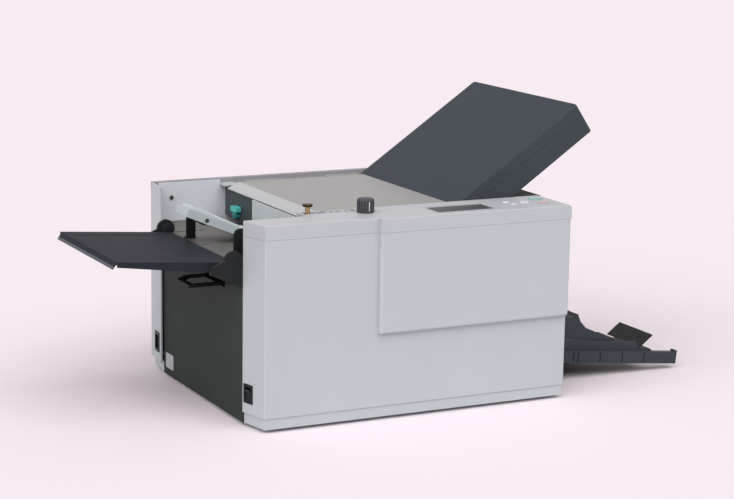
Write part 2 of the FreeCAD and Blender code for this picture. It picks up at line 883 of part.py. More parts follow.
def feed_table():
    front = front_strip + fit_gap + bracket_thickness + fit_gap
    inner_front = frame_inner_front + fit_gap
    rear = rear_frame_y - fit_gap
    strip_end = rear_strip_end - fit_gap
    clear_x = rear_slant + 2 * cover_wall
    step_x = throat_length - fit_gap
    outline = [
        (table_left, front),
        (step_x, front),
        (step_x, inner_front),
        (table_right, inner_front),
        (table_right, rear),
        (clear_x, rear),
        (clear_x, strip_end),
        (table_left, strip_end),
    ]
    plate = prism_z(outline, table_top - sheet, table_top)
    flange = box(table_left, table_left + sheet, front, strip_end, end_panel_height + fit_gap, table_top)
    slot = box(table_left - 1, bracket_root_x + 2 * bracket_gap, rear_bracket_y - bracket_gap,
               rear_bracket_y + bracket_thickness + bracket_gap, bracket_root_z, table_top + 1)
    table = without(fused([plate, flange]), [slot, pad_box(0.2, table_top - pad_depth, table_top + 1)])
    pad = pad_box(0, table_top - pad_depth, table_top + pad_rise)
    return [table, pad]


def bracket_fronts():
    return (front_strip + fit_gap, rear_bracket_y)


def tray_brackets():
    """Wedge brackets with a round head that carry the pins of the feed tray."""
    outline = [
        (bracket_tip_x, bracket_tip_top),
        (bracket_tip_x, bracket_tip_bottom),
        (end_panel_gap + sheet, bracket_root_z),
        (bracket_root_x, bracket_root_z),
        (bracket_root_x, table_top - sheet - fit_gap),
        (table_left - bracket_gap, table_top - sheet - fit_gap),
        (pivot_x + bracket_radius, pivot_z),
        (pivot_x - bracket_radius, pivot_z),
    ]
    brackets = []
    pin_reach = tray_front + ear_thickness + 2
    for y, pin_end in zip(bracket_fronts(), (pin_reach, tray_rear - ear_thickness - 2)):
        body = prism_y(outline, y, y + bracket_thickness)
        head = rod_y(y, y + bracket_thickness, pivot_x, pivot_z, bracket_radius)
        pin = rod_y(min(y, pin_end), max(y + bracket_thickness, pin_end), pivot_x, pivot_z, pin_radius)
        brackets.append(fused([body, head, pin]))
    return brackets


def feed_tray():
    end_x = tray_left + tray_end_slope
    end_z = tray_left_top - tray_end_slope * math.tan(tray_tilt)
    plate = prism_y([(end_x, end_z), (tray_left, end_z - tray_end_drop + 1), (tray_left + 2, end_z - tray_end_drop),
                     (end_x + 1, end_z - tray_sheet), (tray_right, tray_right_top - tray_sheet),
                     (tray_right, tray_right_top)], tray_front, tray_rear)
    flange = [(end_x, end_z), (tray_right, tray_right_top), (tray_right, tray_right_top - tray_flange_right),
              (end_x, end_z - tray_flange_left)]
    sides = [prism_y(flange, y, y + tray_sheet) for y in (tray_front, tray_rear - tray_sheet)]
    ears = [rod_y(y, y + ear_thickness, pivot_x, pivot_z, ear_radius)
            for y in (tray_front, tray_rear - ear_thickness)]
    ears = [ear.cut(box(tray_right, 0, tray_front, tray_rear, 0, body_height)) for ear in ears]
    tray = fused([plate] + sides + ears)
    cutters = [box(tray_left - 1, end_x - 0.5, y, y + tray_corner_notch, 0, body_height)
               for y in (tray_front - 1, tray_rear - tray_corner_notch + 1)]
    cutters.append(rod_y(tray_front - 1, tray_rear + 1, pivot_x, pivot_z, pin_radius + running_gap))
    for y in (tray_rear - 40, tray_rear - 32):
        groove = box(0, 170, y, y + 2, -1, 1)
        cutters.append(plate_frame(groove, end_x + 10, end_z - 10 * math.tan(tray_tilt), -math.degrees(tray_tilt)))
    return without(tray, cutters)


def side_guide(face, right, foot_side):
    """Upright plate with a round upper corner and a foot on the feed table."""
    plate_far = face + foot_side * guide_sheet
    plate = box(guide_left, right, min(face, plate_far), max(face, plate_far), table_top + 2, guide_top)
    plate = rounded(plate, guide_round, lambda c, d: abs(d.y) > 0.9 and c.x < guide_left + 1 and c.z > guide_top - 1)
    foot_far = plate_far + foot_side * guide_foot
    foot = box(table_left + 1, right, min(plate_far, foot_far), max(plate_far, foot_far),
               table_top + fit_gap, table_top + fit_gap + guide_foot_height)
    root = box(table_left + 1, right, min(face, plate_far), max(face, plate_far),
               table_top + fit_gap, table_top + 3)
    return fused([plate, foot, root])


def tray_lever():
    right = loop_pivot_x
    outline = [
        (-loop_reach, loop_front),
        (right, loop_front),
        (right, loop_rear),
        (-loop_reach + loop_chamfer, loop_rear),
        (-loop_reach, loop_rear - loop_chamfer),
    ]
    outline_inner = closed_offset([
        (-loop_reach, loop_front),
        (-1, loop_front),
        (-1, loop_rear),
        (-loop_reach + loop_chamfer, loop_rear),
        (-loop_reach, loop_rear - loop_chamfer),
    ], loop_band)
    z0 = loop_z - loop_thickness / 2
    z1 = loop_z + loop_thickness / 2
    loop = prism_z(outline, z0, z1).cut(prism_z(outline_inner, z0 - 1, z1 + 1))
    loop = rounded(loop, 5, lambda c, d: abs(d.z) > 0.9 and c.x < -loop_reach + 1)
    hub = rod_y(loop_front, loop_rear, loop_pivot_x, loop_z, loop_pin_radius + 2)
    reach = lever_slot_margin + loop_ear_width
    pin = rod_y(loop_front - reach, loop_rear + reach, loop_pivot_x, loop_z, loop_pin_radius)
    return fused([loop, hub, pin])


def arm_point(distance, height):
    """Point on the feed arm: distance from its pivot towards the tip, height square to it."""
    turn = math.radians(arm_slope)
    x = arm_pivot_x - distance * math.cos(turn) + height * math.sin(turn)
    z = arm_pivot_z + distance * math.sin(turn) + height * math.cos(turn)
    return x, z


def arm_block(start, end, low, high, y0, y1):
    corners = [arm_point(start, low), arm_point(end, low), arm_point(end, high), arm_point(start, high)]
    return prism_y(corners, y0, y1)


def feed_arm():
    """Swinging arm with a round hood over the feed roller, and the shaft it swings on."""
    length = (arm_pivot_x - arm_tip_x) / math.cos(math.radians(arm_slope))
    rear = arm_front + arm_width
    beam = arm_block(arm_neck, length, arm_low, arm_high, arm_front, rear)
    neck = arm_block(0, arm_neck + 1, -arm_neck_depth, arm_high, arm_front, rear)
    boss = rod_y(arm_front, rear, arm_pivot_x, arm_pivot_z, arm_boss_radius)
    hood = arm_block(hood_start, hood_start + hood_length, 0, hood_top, arm_front + hood_inset, rear - hood_inset)
    hood = rounded(hood, hood_round, lambda c, d: height_on_arm(c) > hood_top - 0.5)
    cheeks = rod_y(arm_front, rear, feed_roller_x, feed_roller_z, cheek_radius)
    body = fused([beam, neck, boss, hood, cheeks])
    inside_front = arm_front + arm_wall
    inside_rear = rear - arm_wall
    cutters = [
        arm_block(arm_neck + arm_wall, length - arm_wall, 3 * arm_low, arm_high - arm_wall,
                  inside_front, inside_rear),
        rod_y(inside_front + arm_wall, inside_rear - arm_wall, feed_roller_x, feed_roller_z, feed_roller_radius + 2),
        rod_y(inside_front, inside_rear, feed_roller_x, feed_roller_z, cheek_radius + 1),
        rod_y(arm_front - 1, rear + 1, feed_roller_x, feed_roller_z, axle_radius + running_gap),
        rod_y(arm_front - 1, rear + 1, arm_pivot_x, arm_pivot_z, shaft_radius),
    ]
    shaft = rod_y(front_frame_y - shaft_overhang, rear_frame_y + frame_sheet + shaft_overhang,
                  arm_pivot_x, arm_pivot_z, shaft_radius)
    return [without(body, cutters), shaft]


def height_on_arm(point):
    turn = math.radians(arm_slope)
    return (point.x - arm_pivot_x) * math.sin(turn) + (point.z - arm_pivot_z) * math.cos(turn)


def feed_roller():
    middle = arm_front + arm_width / 2
    tyre = rod_y(middle - feed_roller_width / 2, middle + feed_roller_width / 2,
                 feed_roller_x, feed_roller_z, feed_roller_radius)
    axle = rod_y(arm_front + fit_gap, arm_front + arm_width - fit_gap, feed_roller_x, feed_roller_z, axle_radius)
    return tyre.fuse(axle).removeSplitter()


def pressure_lever():
    back = dark_wall_x - fit_gap
    front = back - pressure_knob_depth
    hub = rod_x(front + 1, back, pressure_y, pressure_pivot_z, pressure_hub_radius)
    stem = box(front + 3, back - 3, pressure_y - 3, pressure_y + 3, pressure_pivot_z, pressure_knob_z)
    knob = box(front, back - 1, pressure_y - pressure_knob_width / 2, pressure_y + pressure_knob_width / 2,
               pressure_knob_z - pressure_knob_height / 2, pressure_knob_z + pressure_knob_height / 2)
    knob = rounded(knob, 2.5, lambda c, d: abs(d.x) > 0.9)
    bore = rod_x(front - 1, back + 1, pressure_y, pressure_pivot_z, pressure_stud_radius + running_gap)
    return fused([hub, stem, knob]).cut(bore)


def fold_roller(index):
    x, z = roller_places()[index]
    body = rod_y(roller_front, roller_rear, x, z, roller_radius)
    pitch = (roller_rear - roller_front) / (roller_groove_count + 1)
    for count in range(roller_groove_count):
        y = roller_front + (count + 1) * pitch
        ring = rod_y(y - roller_groove_width / 2, y + roller_groove_width / 2, x, z, roller_radius + 1)
        core = rod_y(y - roller_groove_width, y + roller_groove_width, x, z, roller_radius - roller_groove_depth)
        body = body.cut(ring.cut(core))
    start = gear_rear_face - gear_width - shaft_overhang
    if index == 1:
        start = pulley_rear_face - pulley_width - shaft_overhang
    end = rear_frame_y + frame_sheet + shaft_overhang
    return body.fuse(rod_y(start, end, x, z, journal_radius)).removeSplitter()


def gear_phases():
    """Turn of each gear, in degrees, that puts its teeth in the gaps of the one before."""
    places = roller_places()
    phases = [0.0]
    for (x0, z0), (x1, z1) in zip(places, places[1:]):
        line = math.degrees(math.atan2(z1 - z0, x1 - x0))
        phases.append(2 * line - phases[-1] + 180.0 + 180.0 / gear_teeth)
    return phases


def fold_gear(index):
    x, z = roller_places()[index]
    phase = gear_phases()[index]
    step = 360.0 / gear_teeth
    corners = []
    for tooth in range(gear_teeth):
        centre = phase + tooth * step
        flank = ((-tooth_root_share, -tooth_depth), (-tooth_tip_share, tooth_height),
                 (tooth_tip_share, tooth_height), (tooth_root_share, -tooth_depth))
        for share, height in flank:
            turn = math.radians(centre + share * step)
            reach = pitch_radius + height
            corners.append((x + reach * math.cos(turn), z + reach * math.sin(turn)))
    gear = prism_y(corners, gear_rear_face - gear_width, gear_rear_face)
    bore = rod_y(gear_rear_face - gear_width - 1, gear_rear_face + 1, x, z, journal_radius)
    gear = gear.cut(bore)
    if index == 1:
        return [gear, large_pulley()]
    return [gear]


def large_pulley():
    x, z = roller_places()[1]
    front = pulley_rear_face - pulley_width
    rim = rod_y(front, pulley_rear_face, x, z, large_pulley_radius)
    return rim.cut(rod_y(front - 1, pulley_rear_face + 1, x, z, journal_radius))


def motor_pulley():
    front = pulley_rear_face - pulley_width
    rim = rod_y(front, pulley_rear_face, motor_x, motor_z, small_pulley_radius)
    shaft = rod_y(motor_rear_face - 12, pulley_rear_face + 1, motor_x, motor_z, motor_shaft_radius)
    return rim.fuse(shaft).removeSplitter()


def belt_outline(grow):
    """Outline around both pulleys, as wire edges in the x-z plane at y = 0."""
    (x0, z0), r0 = (motor_x, motor_z), small_pulley_radius + grow
    (x1, z1), r1 = roller_places()[1], large_pulley_radius + grow
    line = math.atan2(z1 - z0, x1 - x0)
    spread = math.acos((r0 - r1) / math.hypot(x1 - x0, z1 - z0))

    def rim(x, z, radius, angle):
        return V(x + radius * math.cos(angle), 0, z + radius * math.sin(angle))

    up, down = line + spread, line - spread
    a, b = rim(x0, z0, r0, up), rim(x1, z1, r1, up)
    c, d = rim(x1, z1, r1, down), rim(x0, z0, r0, down)
    near = Part.Arc(d, rim(x0, z0, r0, line + math.pi), a)
    far = Part.Arc(b, rim(x1, z1, r1, line), c)
    edges = [Part.LineSegment(a, b), far, Part.LineSegment(c, d), near]
    return Part.Wire([edge.toShape() for edge in edges])


def drive_belt():
    front = pulley_rear_face - pulley_width + 1
    width = pulley_width - 2
    outer = Part.Face(belt_outline(belt_gap + belt_thickness)).extrude(V(0, width, 0))
    inner = Part.Face(belt_outline(belt_gap)).extrude(V(0, width, 0))
    belt = outer.cut(inner)
    belt.translate(V(0, front, 0))
    return belt


def drive_motor():
    front = motor_rear_face - motor_length
    can = rod_y(front, motor_rear_face, motor_x, motor_z, motor_radius)
    foot = box(motor_x - motor_foot_width / 2, motor_x + motor_foot_width / 2, front + 8, motor_rear_face - 8,
               sheet, motor_z - motor_radius / 2)
    nose = rod_y(motor_rear_face - 1, motor_rear_face + 3, motor_x, motor_z, 3 * motor_shaft_radius)
    bore = rod_y(motor_rear_face - 12 - fit_gap, motor_rear_face + 4, motor_x, motor_z, motor_shaft_radius + running_gap)
    return fused([can, foot, nose]).cut(bore)


def roller_bearings():
    bushes = []
    for x, z in roller_places():
        front_flange = (frame_inner_front, frame_inner_front + bush_flange_sheet)
        rear_flange = (rear_frame_y - bush_flange_sheet, rear_frame_y)
        for flange, body in ((front_flange, (front_frame_y - 1.5, frame_inner_front)),
                             (rear_flange, (rear_frame_y, rear_frame_y + frame_sheet + 1.5))):
            bush = rod_y(flange[0], flange[1], x, z, bush_flange).fuse(rod_y(body[0], body[1], x, z, bush_radius))
            bore = rod_y(front_frame_y - 5, rear_frame_y + 10, x, z, journal_radius + running_gap)
            bushes.append(bush.removeSplitter().cut(bore))
    return bushes


def top_cover():
    bottom = cover_top - cover_sheet
    plate = box(cover_left, cover_right, cover_front, cover_rear, bottom, cover_top)
    skirts = [
        box(cover_left, cover_right, cover_front, cover_front + sheet, cover_top - cover_skirt, cover_top),
        box(cover_right - sheet, cover_right, cover_front, cover_rear, cover_top - cover_skirt, cover_top),
    ]
    pin = [rod_x(x0 - fit_gap, x1 + fit_gap, hinge_y, hinge_z(), hinge_radius)
           for x0, x1 in hinge_pin_spans()]
    return fused([plate] + skirts + hinge_barrels(cover_rear, bottom, sheet, 0) + pin)


def hinge_pin_spans():
    spans = []
    for start in (cover_left + 10, cover_right - 10 - 3 * knuckle_length):
        spans.append((start + 1, start + 3 * knuckle_length - 1))
    return spans


def top_cover_lip():
    """Bevelled lip over the feed throat, rising to the top cover's edge."""
    low = cover_top - lip_drop
    outline = [
        (lip_left, low),
        (lip_left, low - sheet),
        (cover_left - 1, cover_top - cover_sheet),
        (cover_left, cover_top - cover_sheet),
        (cover_left, cover_top),
        (cover_left - 3, cover_top),
    ]
    return prism_y(outline, cover_front, cover_rear)


def upper_plate_cover():
    shell = box(0, plate_length, plate_front, plate_rear, -plate_seam, 0)
    shell = rounded(shell, plate_top_round, lambda c, d: (
        abs(c.z) < 0.1 and c.x > 1 or abs(d.z) > 0.9 and c.x > plate_length - 1))
    hollow = box(plate_wall, plate_length - plate_wall, plate_front + plate_wall, plate_rear - plate_wall,
                 -plate_seam - 1, -plate_wall)
    hollow = rounded(hollow, plate_top_round - plate_wall, lambda c, d: (
        abs(c.z + plate_wall) < 0.1 and c.x > plate_wall + 1
        or abs(d.z) > 0.9 and c.x > plate_length - plate_wall - 1))
    return plate_frame(shell.cut(hollow), plate_foot_x, plate_foot_z, plate_angle)


def upper_plate_base():
    top = -plate_seam - plate_seam_gap
    shell = box(0, plate_length, plate_front, plate_rear, -plate_thickness, top)
    shell = rounded(shell, plate_top_round, lambda c, d: abs(d.z) > 0.9 and c.x > plate_length - 1)
    inside = (plate_wall, plate_length - plate_wall, plate_front + plate_wall, plate_rear - plate_wall)
    hollow = box(*inside, -plate_thickness + plate_wall, top + 1)
    hollow = rounded(hollow, plate_top_round - plate_wall, lambda c, d: (
        abs(d.z) > 0.9 and c.x > plate_length - plate_wall - 1))
    deck = box(*inside, -plate_deck - sheet, -plate_deck)
    deck = deck.common(hollow)
    mouth = box(-1, plate_wall + 1, plate_front + 3 * plate_wall, plate_rear - 3 * plate_wall,
                -plate_mouth_bottom, -plate_mouth_top)
    shell = fused([shell.cut(hollow), deck]).cut(mouth)
    return plate_frame(shell, plate_foot_x, plate_foot_z, plate_angle)


def upper_stop():
    edge = plate_wall + stop_side_gap
    low = -plate_deck + fit_gap
    bar = box(stop_place, stop_place + stop_width, plate_front + edge, plate_rear - edge, low, low + stop_height)
    return plate_frame(bar, plate_foot_x, plate_foot_z, plate_angle)


def lower_plate():
    half = lower_thickness / 2
    shell = box(0, lower_length, frame_inner_front, rear_frame_y, -half, half)
    hollow = box(lower_wall, lower_length - lower_wall, frame_inner_front + lower_wall, rear_frame_y - lower_wall,
                 -half + lower_wall, half - lower_wall)
    mouth = box(-1, lower_wall + 1, frame_inner_front + 3 * lower_wall, rear_frame_y - 3 * lower_wall, -4, 4)
    return plate_frame(without(shell, [hollow, mouth]), lower_mouth_x, lower_mouth_z, 180 + lower_angle)


def lower_stop():
    reach = lower_thickness / 2 - lower_wall - fit_gap
    edge = lower_wall + 2
    bar = box(lower_stop_place, lower_stop_place + lower_stop_width, frame_inner_front + edge, rear_frame_y - edge,
              -reach, reach)
    return plate_frame(bar, lower_mouth_x, lower_mouth_z, 180 + lower_angle)


def exit_chute():
    path = [(chute_top_x, chute_top_z), (chute_bottom_x, chute_bottom_z)]
    outline = path + offset_path(path, -sheet)[::-1]
    return prism_y(outline, frame_inner_front + fit_gap, rear_frame_y - fit_gap)


def bed_line(x):
    """Height of the top of the stacker bed."""
    return stacker_line(x) + (rail_height + bed_rise) / math.cos(math.radians(stacker_slope))


def exit_roller_z():
    clear = (exit_roller_radius + exit_roller_clear) / math.cos(math.radians(stacker_slope))
    return bed_line(exit_roller_x) + clear


def exit_roller_fronts():
    return [exit_arm_front + inset for inset in exit_roller_insets]


def exit_arm():
    """Arm from the exit end that holds the press rollers on the stacker bed, and its shaft."""
    front = exit_arm_front
    rear = front + exit_arm_width
    tip_z = exit_roller_z()
    top = [
        (exit_pivot_x, exit_pivot_z + exit_hub_radius),
        *[(exit_pivot_x + run, exit_pivot_z + rise) for run, rise in exit_arm_profile],
        (exit_roller_x, tip_z + exit_cheek_radius),
    ]
    bottom = [
        (exit_roller_x, bed_line(exit_roller_x) + exit_arm_lift),
        (exit_roller_x - exit_arm_nose, bed_line(exit_roller_x - exit_arm_nose) + exit_arm_clear),
        (exit_pivot_x + exit_hub_radius, bed_line(exit_pivot_x + exit_hub_radius) + exit_arm_root_clear),
        (exit_pivot_x, exit_pivot_z - exit_hub_radius),
    ]
    body = prism_y(top + bottom, front, rear)
    hub = rod_y(front, rear, exit_pivot_x, exit_pivot_z, exit_hub_radius)
    cheek = rod_y(front, rear, exit_roller_x, tip_z, exit_cheek_radius)
    hollow_top = [(x, z - exit_arm_wall) for x, z in top]
    hollow_top[0] = (exit_pivot_x + exit_hub_radius + exit_arm_wall, exit_pivot_z + exit_arm_wall)
    hollow_top[-1] = (exit_roller_x + 2 * exit_cheek_radius, tip_z + exit_cheek_radius - exit_arm_wall)
    hollow_bottom = [(exit_roller_x + 2 * exit_cheek_radius, 0), (exit_pivot_x + exit_hub_radius + exit_arm_wall, 0)]
    hollow = prism_y(hollow_top + hollow_bottom, front + exit_arm_wall, rear - exit_arm_wall)
    body = fused([body, hub, cheek])
    body = without(body, [
        hollow,
        rod_y(front - 1, rear + 1, exit_pivot_x, exit_pivot_z, shaft_radius),
        rod_y(front - 1, rear + 1, exit_roller_x, tip_z, axle_radius + running_gap),
    ] + [rod_y(y - 1, y + exit_roller_width + 1, exit_roller_x, tip_z, exit_roller_radius + 1)
         for y in exit_roller_fronts()])
    shaft = rod_y(front_frame_y - shaft_overhang, rear_frame_y + frame_sheet + shaft_overhang,
                  exit_pivot_x, exit_pivot_z, shaft_radius)
    return [body, shaft]


def exit_roller():
    z = exit_roller_z()
    wheels = [rod_y(y, y + exit_roller_width, exit_roller_x, z, exit_roller_radius) for y in exit_roller_fronts()]
    axle = rod_y(exit_arm_front + fit_gap, exit_arm_front + exit_arm_width - fit_gap, exit_roller_x, z, axle_radius)
    return fused([axle] + wheels)


def on_stacker(shape):
    """Move a shape drawn along the stacker rail, from the reference place, onto its slope."""
    return plate_frame(shape, reference_x, rail_bottom, -stacker_slope)


def stacker_tray():
    """Ribbed front rail with an upturned end, a shorter rear rail and the bed between them."""
    start = stacker_left - reference_x
    end = stacker_right - reference_x
    wide_end = wide_bed_end_x - reference_x
    bed_end = bed_end_x - reference_x
    bed_top = rail_height + bed_rise
    front_rail = box(start, end, stacker_front, stacker_front + rail_width, 0, rail_height)
    for place in rib_places:
        front_rail = front_rail.cut(box(place, place + rib_width, stacker_front - 1, stacker_front + rib_depth,
                                        -1, rail_height - 2))
    rear_rail = box(start, wide_end, stacker_rear - rail_width, stacker_rear, 0, rail_height)
    bed_front = stacker_front + rail_width - stacker_sheet
    bed_rear = stacker_rear - rail_width + stacker_sheet
    profile = [(start, bed_top), (bed_end, bed_top), (bed_end + bed_ramp, rail_height)]
    narrow_bed = prism_y(profile + offset_path(profile, -stacker_sheet)[::-1], bed_front, narrow_bed_rear)
    wide_bed = box(start, wide_end, bed_front, bed_rear, bed_top - stacker_sheet, bed_top)
    cheek_end = cheek_end_x - reference_x
    cheek_top = rail_height + cheek_rise
    skirt = [(start, 0), (bed_end + bed_ramp - stacker_sheet, 0), (bed_end + bed_ramp, rail_height),
             (bed_end, bed_top), (cheek_end + cheek_ramp, bed_top), (cheek_end, cheek_top), (start, cheek_top)]
    front_cheek = prism_y(skirt, bed_front, bed_front + stacker_sheet)
    rear_cheek = box(start, wide_end, bed_rear - stacker_sheet, bed_rear, 0, bed_top)
    lip = box(end - stacker_lip, end, stacker_front, stacker_front + rail_width, 0, lip_height)
    lip = rounded(lip, 2.0, lambda c, d: abs(d.y) > 0.9 and c.z > lip_height - 1)
    return on_stacker(fused([front_rail, rear_rail, wide_bed, narrow_bed, front_cheek, rear_cheek, lip]))


def stacker_stop():
    root = stop_x - reference_x
    low = rail_height + bed_rise + fit_gap
    rear = stop_flap_front + stop_flap_width
    foot = box(root - stop_foot_length, root + 1, stop_flap_front, narrow_bed_rear, low, low + stop_flap_sheet)
    flap = box(0, stop_flap_length, stop_flap_front, rear, 0, stop_flap_sheet)
    holes = [rod_z(-1, stop_flap_sheet + 1, stop_flap_length * 0.55, stop_flap_front + share * stop_flap_width, 2.2)
             for share in (0.25, 0.75)]
    flap = plate_frame(without(flap, holes), root, low, stop_flap_tilt + stacker_slope)
    return on_stacker(fused([foot, flap]))


def display_window():
    gap = 0.2
    return box(display_left + gap, display_right - gap, display_front + gap, display_rear - gap,
               body_height - cover_wall - 1, body_height - 0.8)


def circuit_boards():
    top = board_z + board_sheet
    board = box(board_left, board_right, board_front, board_rear, board_z, top)
    pot = rod_z(top - 1, top + 9, knob_x, knob_y, 9)
    pot = pot.cut(rod_z(top + 2, top + 12, knob_x, knob_y, knob_shaft_radius + running_gap))
    dome_top = body_height - cover_wall - fit_gap - key_flange - key_travel - fit_gap
    domes = [rod_z(top - 1, dome_top, x, y, 3) for x, y, length, width in key_places.values()]
    control = fused([board, pot] + domes)
    left = body_length - supply_inset
    front = supply_front
    deck = supply_z + board_sheet / 2
    supply = box(left, left + supply_length, front, front + supply_width, supply_z, supply_z + board_sheet)
    legs = [rod_z(sheet, deck, x, y, supply_leg_radius)
            for x in (left + supply_leg_inset, left + supply_length - supply_leg_inset)
            for y in (front + supply_leg_inset, front + supply_width - supply_leg_inset)]
    blocks = [box(left + 20, left + 60, front + 12, front + 56, deck, supply_top - 6),
              rod_z(deck, supply_top, left + 90, front + 26, 11), rod_z(deck, supply_top, left + 118, front + 26, 11),
              box(left + 78, left + 148, front + 46, front + 60, deck, supply_top - 14)]
    return [control, fused([supply] + legs + blocks)]


def adjuster_rail():
    """Bracket with the skew adjustment bar, seen through the slot of the control strip."""
    left = slot_left + 2
    right = slot_right - 2
    bottom = rail_bar_top - rail_bar_thickness
    bar = box(left, right, slot_front + 2, slot_rear - 2, bottom, rail_bar_top)
    bar = bar.cut(rod_z(bottom - 1, rail_bar_top + 1, thumb_x, thumb_y, 3 + running_gap))
    legs = []
    for x in (left, right - rail_leg_width):
        legs.append(box(x, x + rail_leg_width, slot_rear - 5, slot_rear - 2, rail_leg_z, bottom + 1))
        legs.append(box(x, x + rail_leg_width, slot_rear - 5, front_frame_y, rail_leg_z, rail_leg_z + rail_foot_height))
    bracket = fused([bar] + legs)
    nuts = []
    for place in rail_nut_places:
        corners = [(slot_left + place + rail_nut_radius * math.cos(math.radians(60 * k)),
                    thumb_y + rail_nut_radius * math.sin(math.radians(60 * k))) for k in range(6)]
        nuts.append(prism_z(corners, rail_bar_top, rail_bar_top + rail_nut_height))
    block_left = slot_left + rail_block_place
    block = box(block_left, block_left + rail_block_length, thumb_y - rail_block_width / 2,
                thumb_y + rail_block_width / 2, rail_bar_top, rail_bar_top + rail_block_height)
    post = rod_z(rail_bar_top, rail_bar_top + rail_post_height, slot_left + rail_post_place,
                 thumb_y + rail_post_radius, rail_post_radius)
    return [bracket] + nuts + [block, post]


def thumb_screw():
    top = body_height + thumb_height
    pin = rod_z(rail_bar_top - rail_bar_thickness, rail_bar_top + 1, thumb_x, thumb_y, 3)
    neck = rod_z(rail_bar_top + fit_gap, top - 4, thumb_x, thumb_y, thumb_neck_radius)
    head = rod_z(top - 5, top, thumb_x, thumb_y, thumb_head_radius)
    head = head.makeFillet(1.8, [edge for edge in head.Edges if edge.Curve.TypeId == "Part::GeomCircle"])
    return fused([pin, neck, head])


def setting_knob():
    bottom = body_height + knob_lift
    top = bottom + knob_height
    body = rod_z(bottom, top, knob_x, knob_y, knob_radius)
    rim = [edge for edge in body.Edges if edge.Curve.TypeId == "Part::GeomCircle" and edge.CenterOfMass.z > top - 1]
    body = body.makeFillet(knob_round, rim)
    flutes = []
    for index in range(knob_flutes):
        turn = math.radians(360.0 * index / knob_flutes)
        flutes.append(rod_z(bottom - 1, top - knob_round, knob_x + knob_radius * math.cos(turn),
                            knob_y + knob_radius * math.sin(turn), knob_flute_radius))
    shaft = rod_z(board_z + board_sheet + 3, bottom + 1, knob_x, knob_y, knob_shaft_radius)
    return without(body, flutes).fuse(shaft).removeSplitter()


def key_cap(name):
    x, y, length, width = key_places[name]
    ceiling = body_height - cover_wall
    low = ceiling - fit_gap - key_flange
    flange = oval(x, y, length + 3, width + 3, low, low + key_flange)
    cap = oval(x, y, length, width, low, body_height + key_rise)
    return flange.fuse(cap).removeSplitter()


def switch_frame():
    half_w = switch_width / 2
    half_h = switch_height / 2
    bezel = box(-switch_proud, 0, -half_w - 2, half_w + 2, -half_h - 2, half_h + 2)
    body = box(-0.5, switch_depth, -half_w + 0.2, half_w - 0.2, -half_h + 0.2, half_h - 0.2)
    well = box(-switch_proud - 1, switch_depth - 1.5, -half_w + switch_border, half_w - switch_border,
               -half_h + switch_border, half_h - switch_border)
    frame = fused([bezel, body]).cut(well)
    pins = [box(switch_depth / 2 - 1, switch_depth / 2 + 1, y0, y1, -1, 1)
            for y0, y1 in ((-half_w + switch_border - 0.5, -half_w + switch_border + 1),
                           (half_w - switch_border - 1, half_w - switch_border + 0.5))]
    return on_front_strip(fused([frame] + pins), switch_y, switch_z)


def power_rocker():
    half_w = switch_width / 2 - switch_border - rocker_gap
    half_h = switch_height / 2 - switch_border - rocker_end_gap
    pivot = switch_depth / 2
    outline = [(-switch_proud - 1.2, -half_h), (pivot + 3, -half_h + 3), (pivot + 3, half_h - 3),
               (-switch_proud - 1.2, half_h), (0, 0)]
    body = prism_y(outline, -half_w, half_w)
    slots = [rod_y(y0, y1, pivot, 0, 1.6) for y0, y1 in ((-half_w - 1, -half_w + 1.2), (half_w - 1.2, half_w + 1))]
    body = without(body, slots)
    body.rotate(V(pivot, 0, 0), V(0, 1, 0), -rocker_tilt)
    return on_front_strip(body, switch_y, switch_z)


def power_inlet():
    half_w = inlet_width / 2
    half_h = inlet_height / 2
    flange = box(-2, 0, -half_w, half_w, -half_h, half_h)
    body = box(0, inlet_depth, -half_w + inlet_rim + 0.2, half_w - inlet_rim - 0.2,
               -half_h + inlet_rim + 0.2, half_h - inlet_rim - 0.2)
    well = box(-3, inlet_depth - 5, -half_w + inlet_border, half_w - inlet_border,
               -half_h + inlet_border + inlet_rim, half_h - inlet_border - inlet_rim)
    blades = [box(3, inlet_depth - 4, y - 1, y + 1, z - 2.5, z + 2.5) for y, z in ((0, 6), (-5, -3), (5, -3))]
    return on_rear_strip(fused([fused([flange, body]).cut(well)] + blades), inlet_y, inlet_z)


def screws():
    """Screw heads on the frames and end panels."""
    heads = [rod_y(rear_frame_y - throat_screw_height, rear_frame_y, frame_rear_left + throat_screw_inset,
                   throat_side_top - throat_screw_drop, throat_screw_radius)]
    left = throat_length + frame_screw_inset
    right = frame_right - frame_screw_inset
    middle = (left + nip_x) / 2
    for x, z in ((left, table_top - frame_screw_inset), (left, low_screw_z), (right, low_screw_z),
                 (right, frame_top - frame_screw_inset), (middle, frame_top - frame_screw_inset)):
        heads.append(rod_y(front_frame_y - frame_screw_height, front_frame_y, x, z, frame_screw_radius))
        back = rear_frame_y + frame_sheet
        heads.append(rod_y(back, back + frame_screw_height, x, z, frame_screw_radius))
    for y in (cover_return + panel_screw_inset, body_depth - cover_return - panel_screw_inset):
        for z in (exit_opening_top + panel_screw_rise, band_bottom - panel_screw_inset):
            heads.append(rod_x(body_length - cover_wall + sheet, body_length + 1, y, z, panel_screw_radius))
    return heads


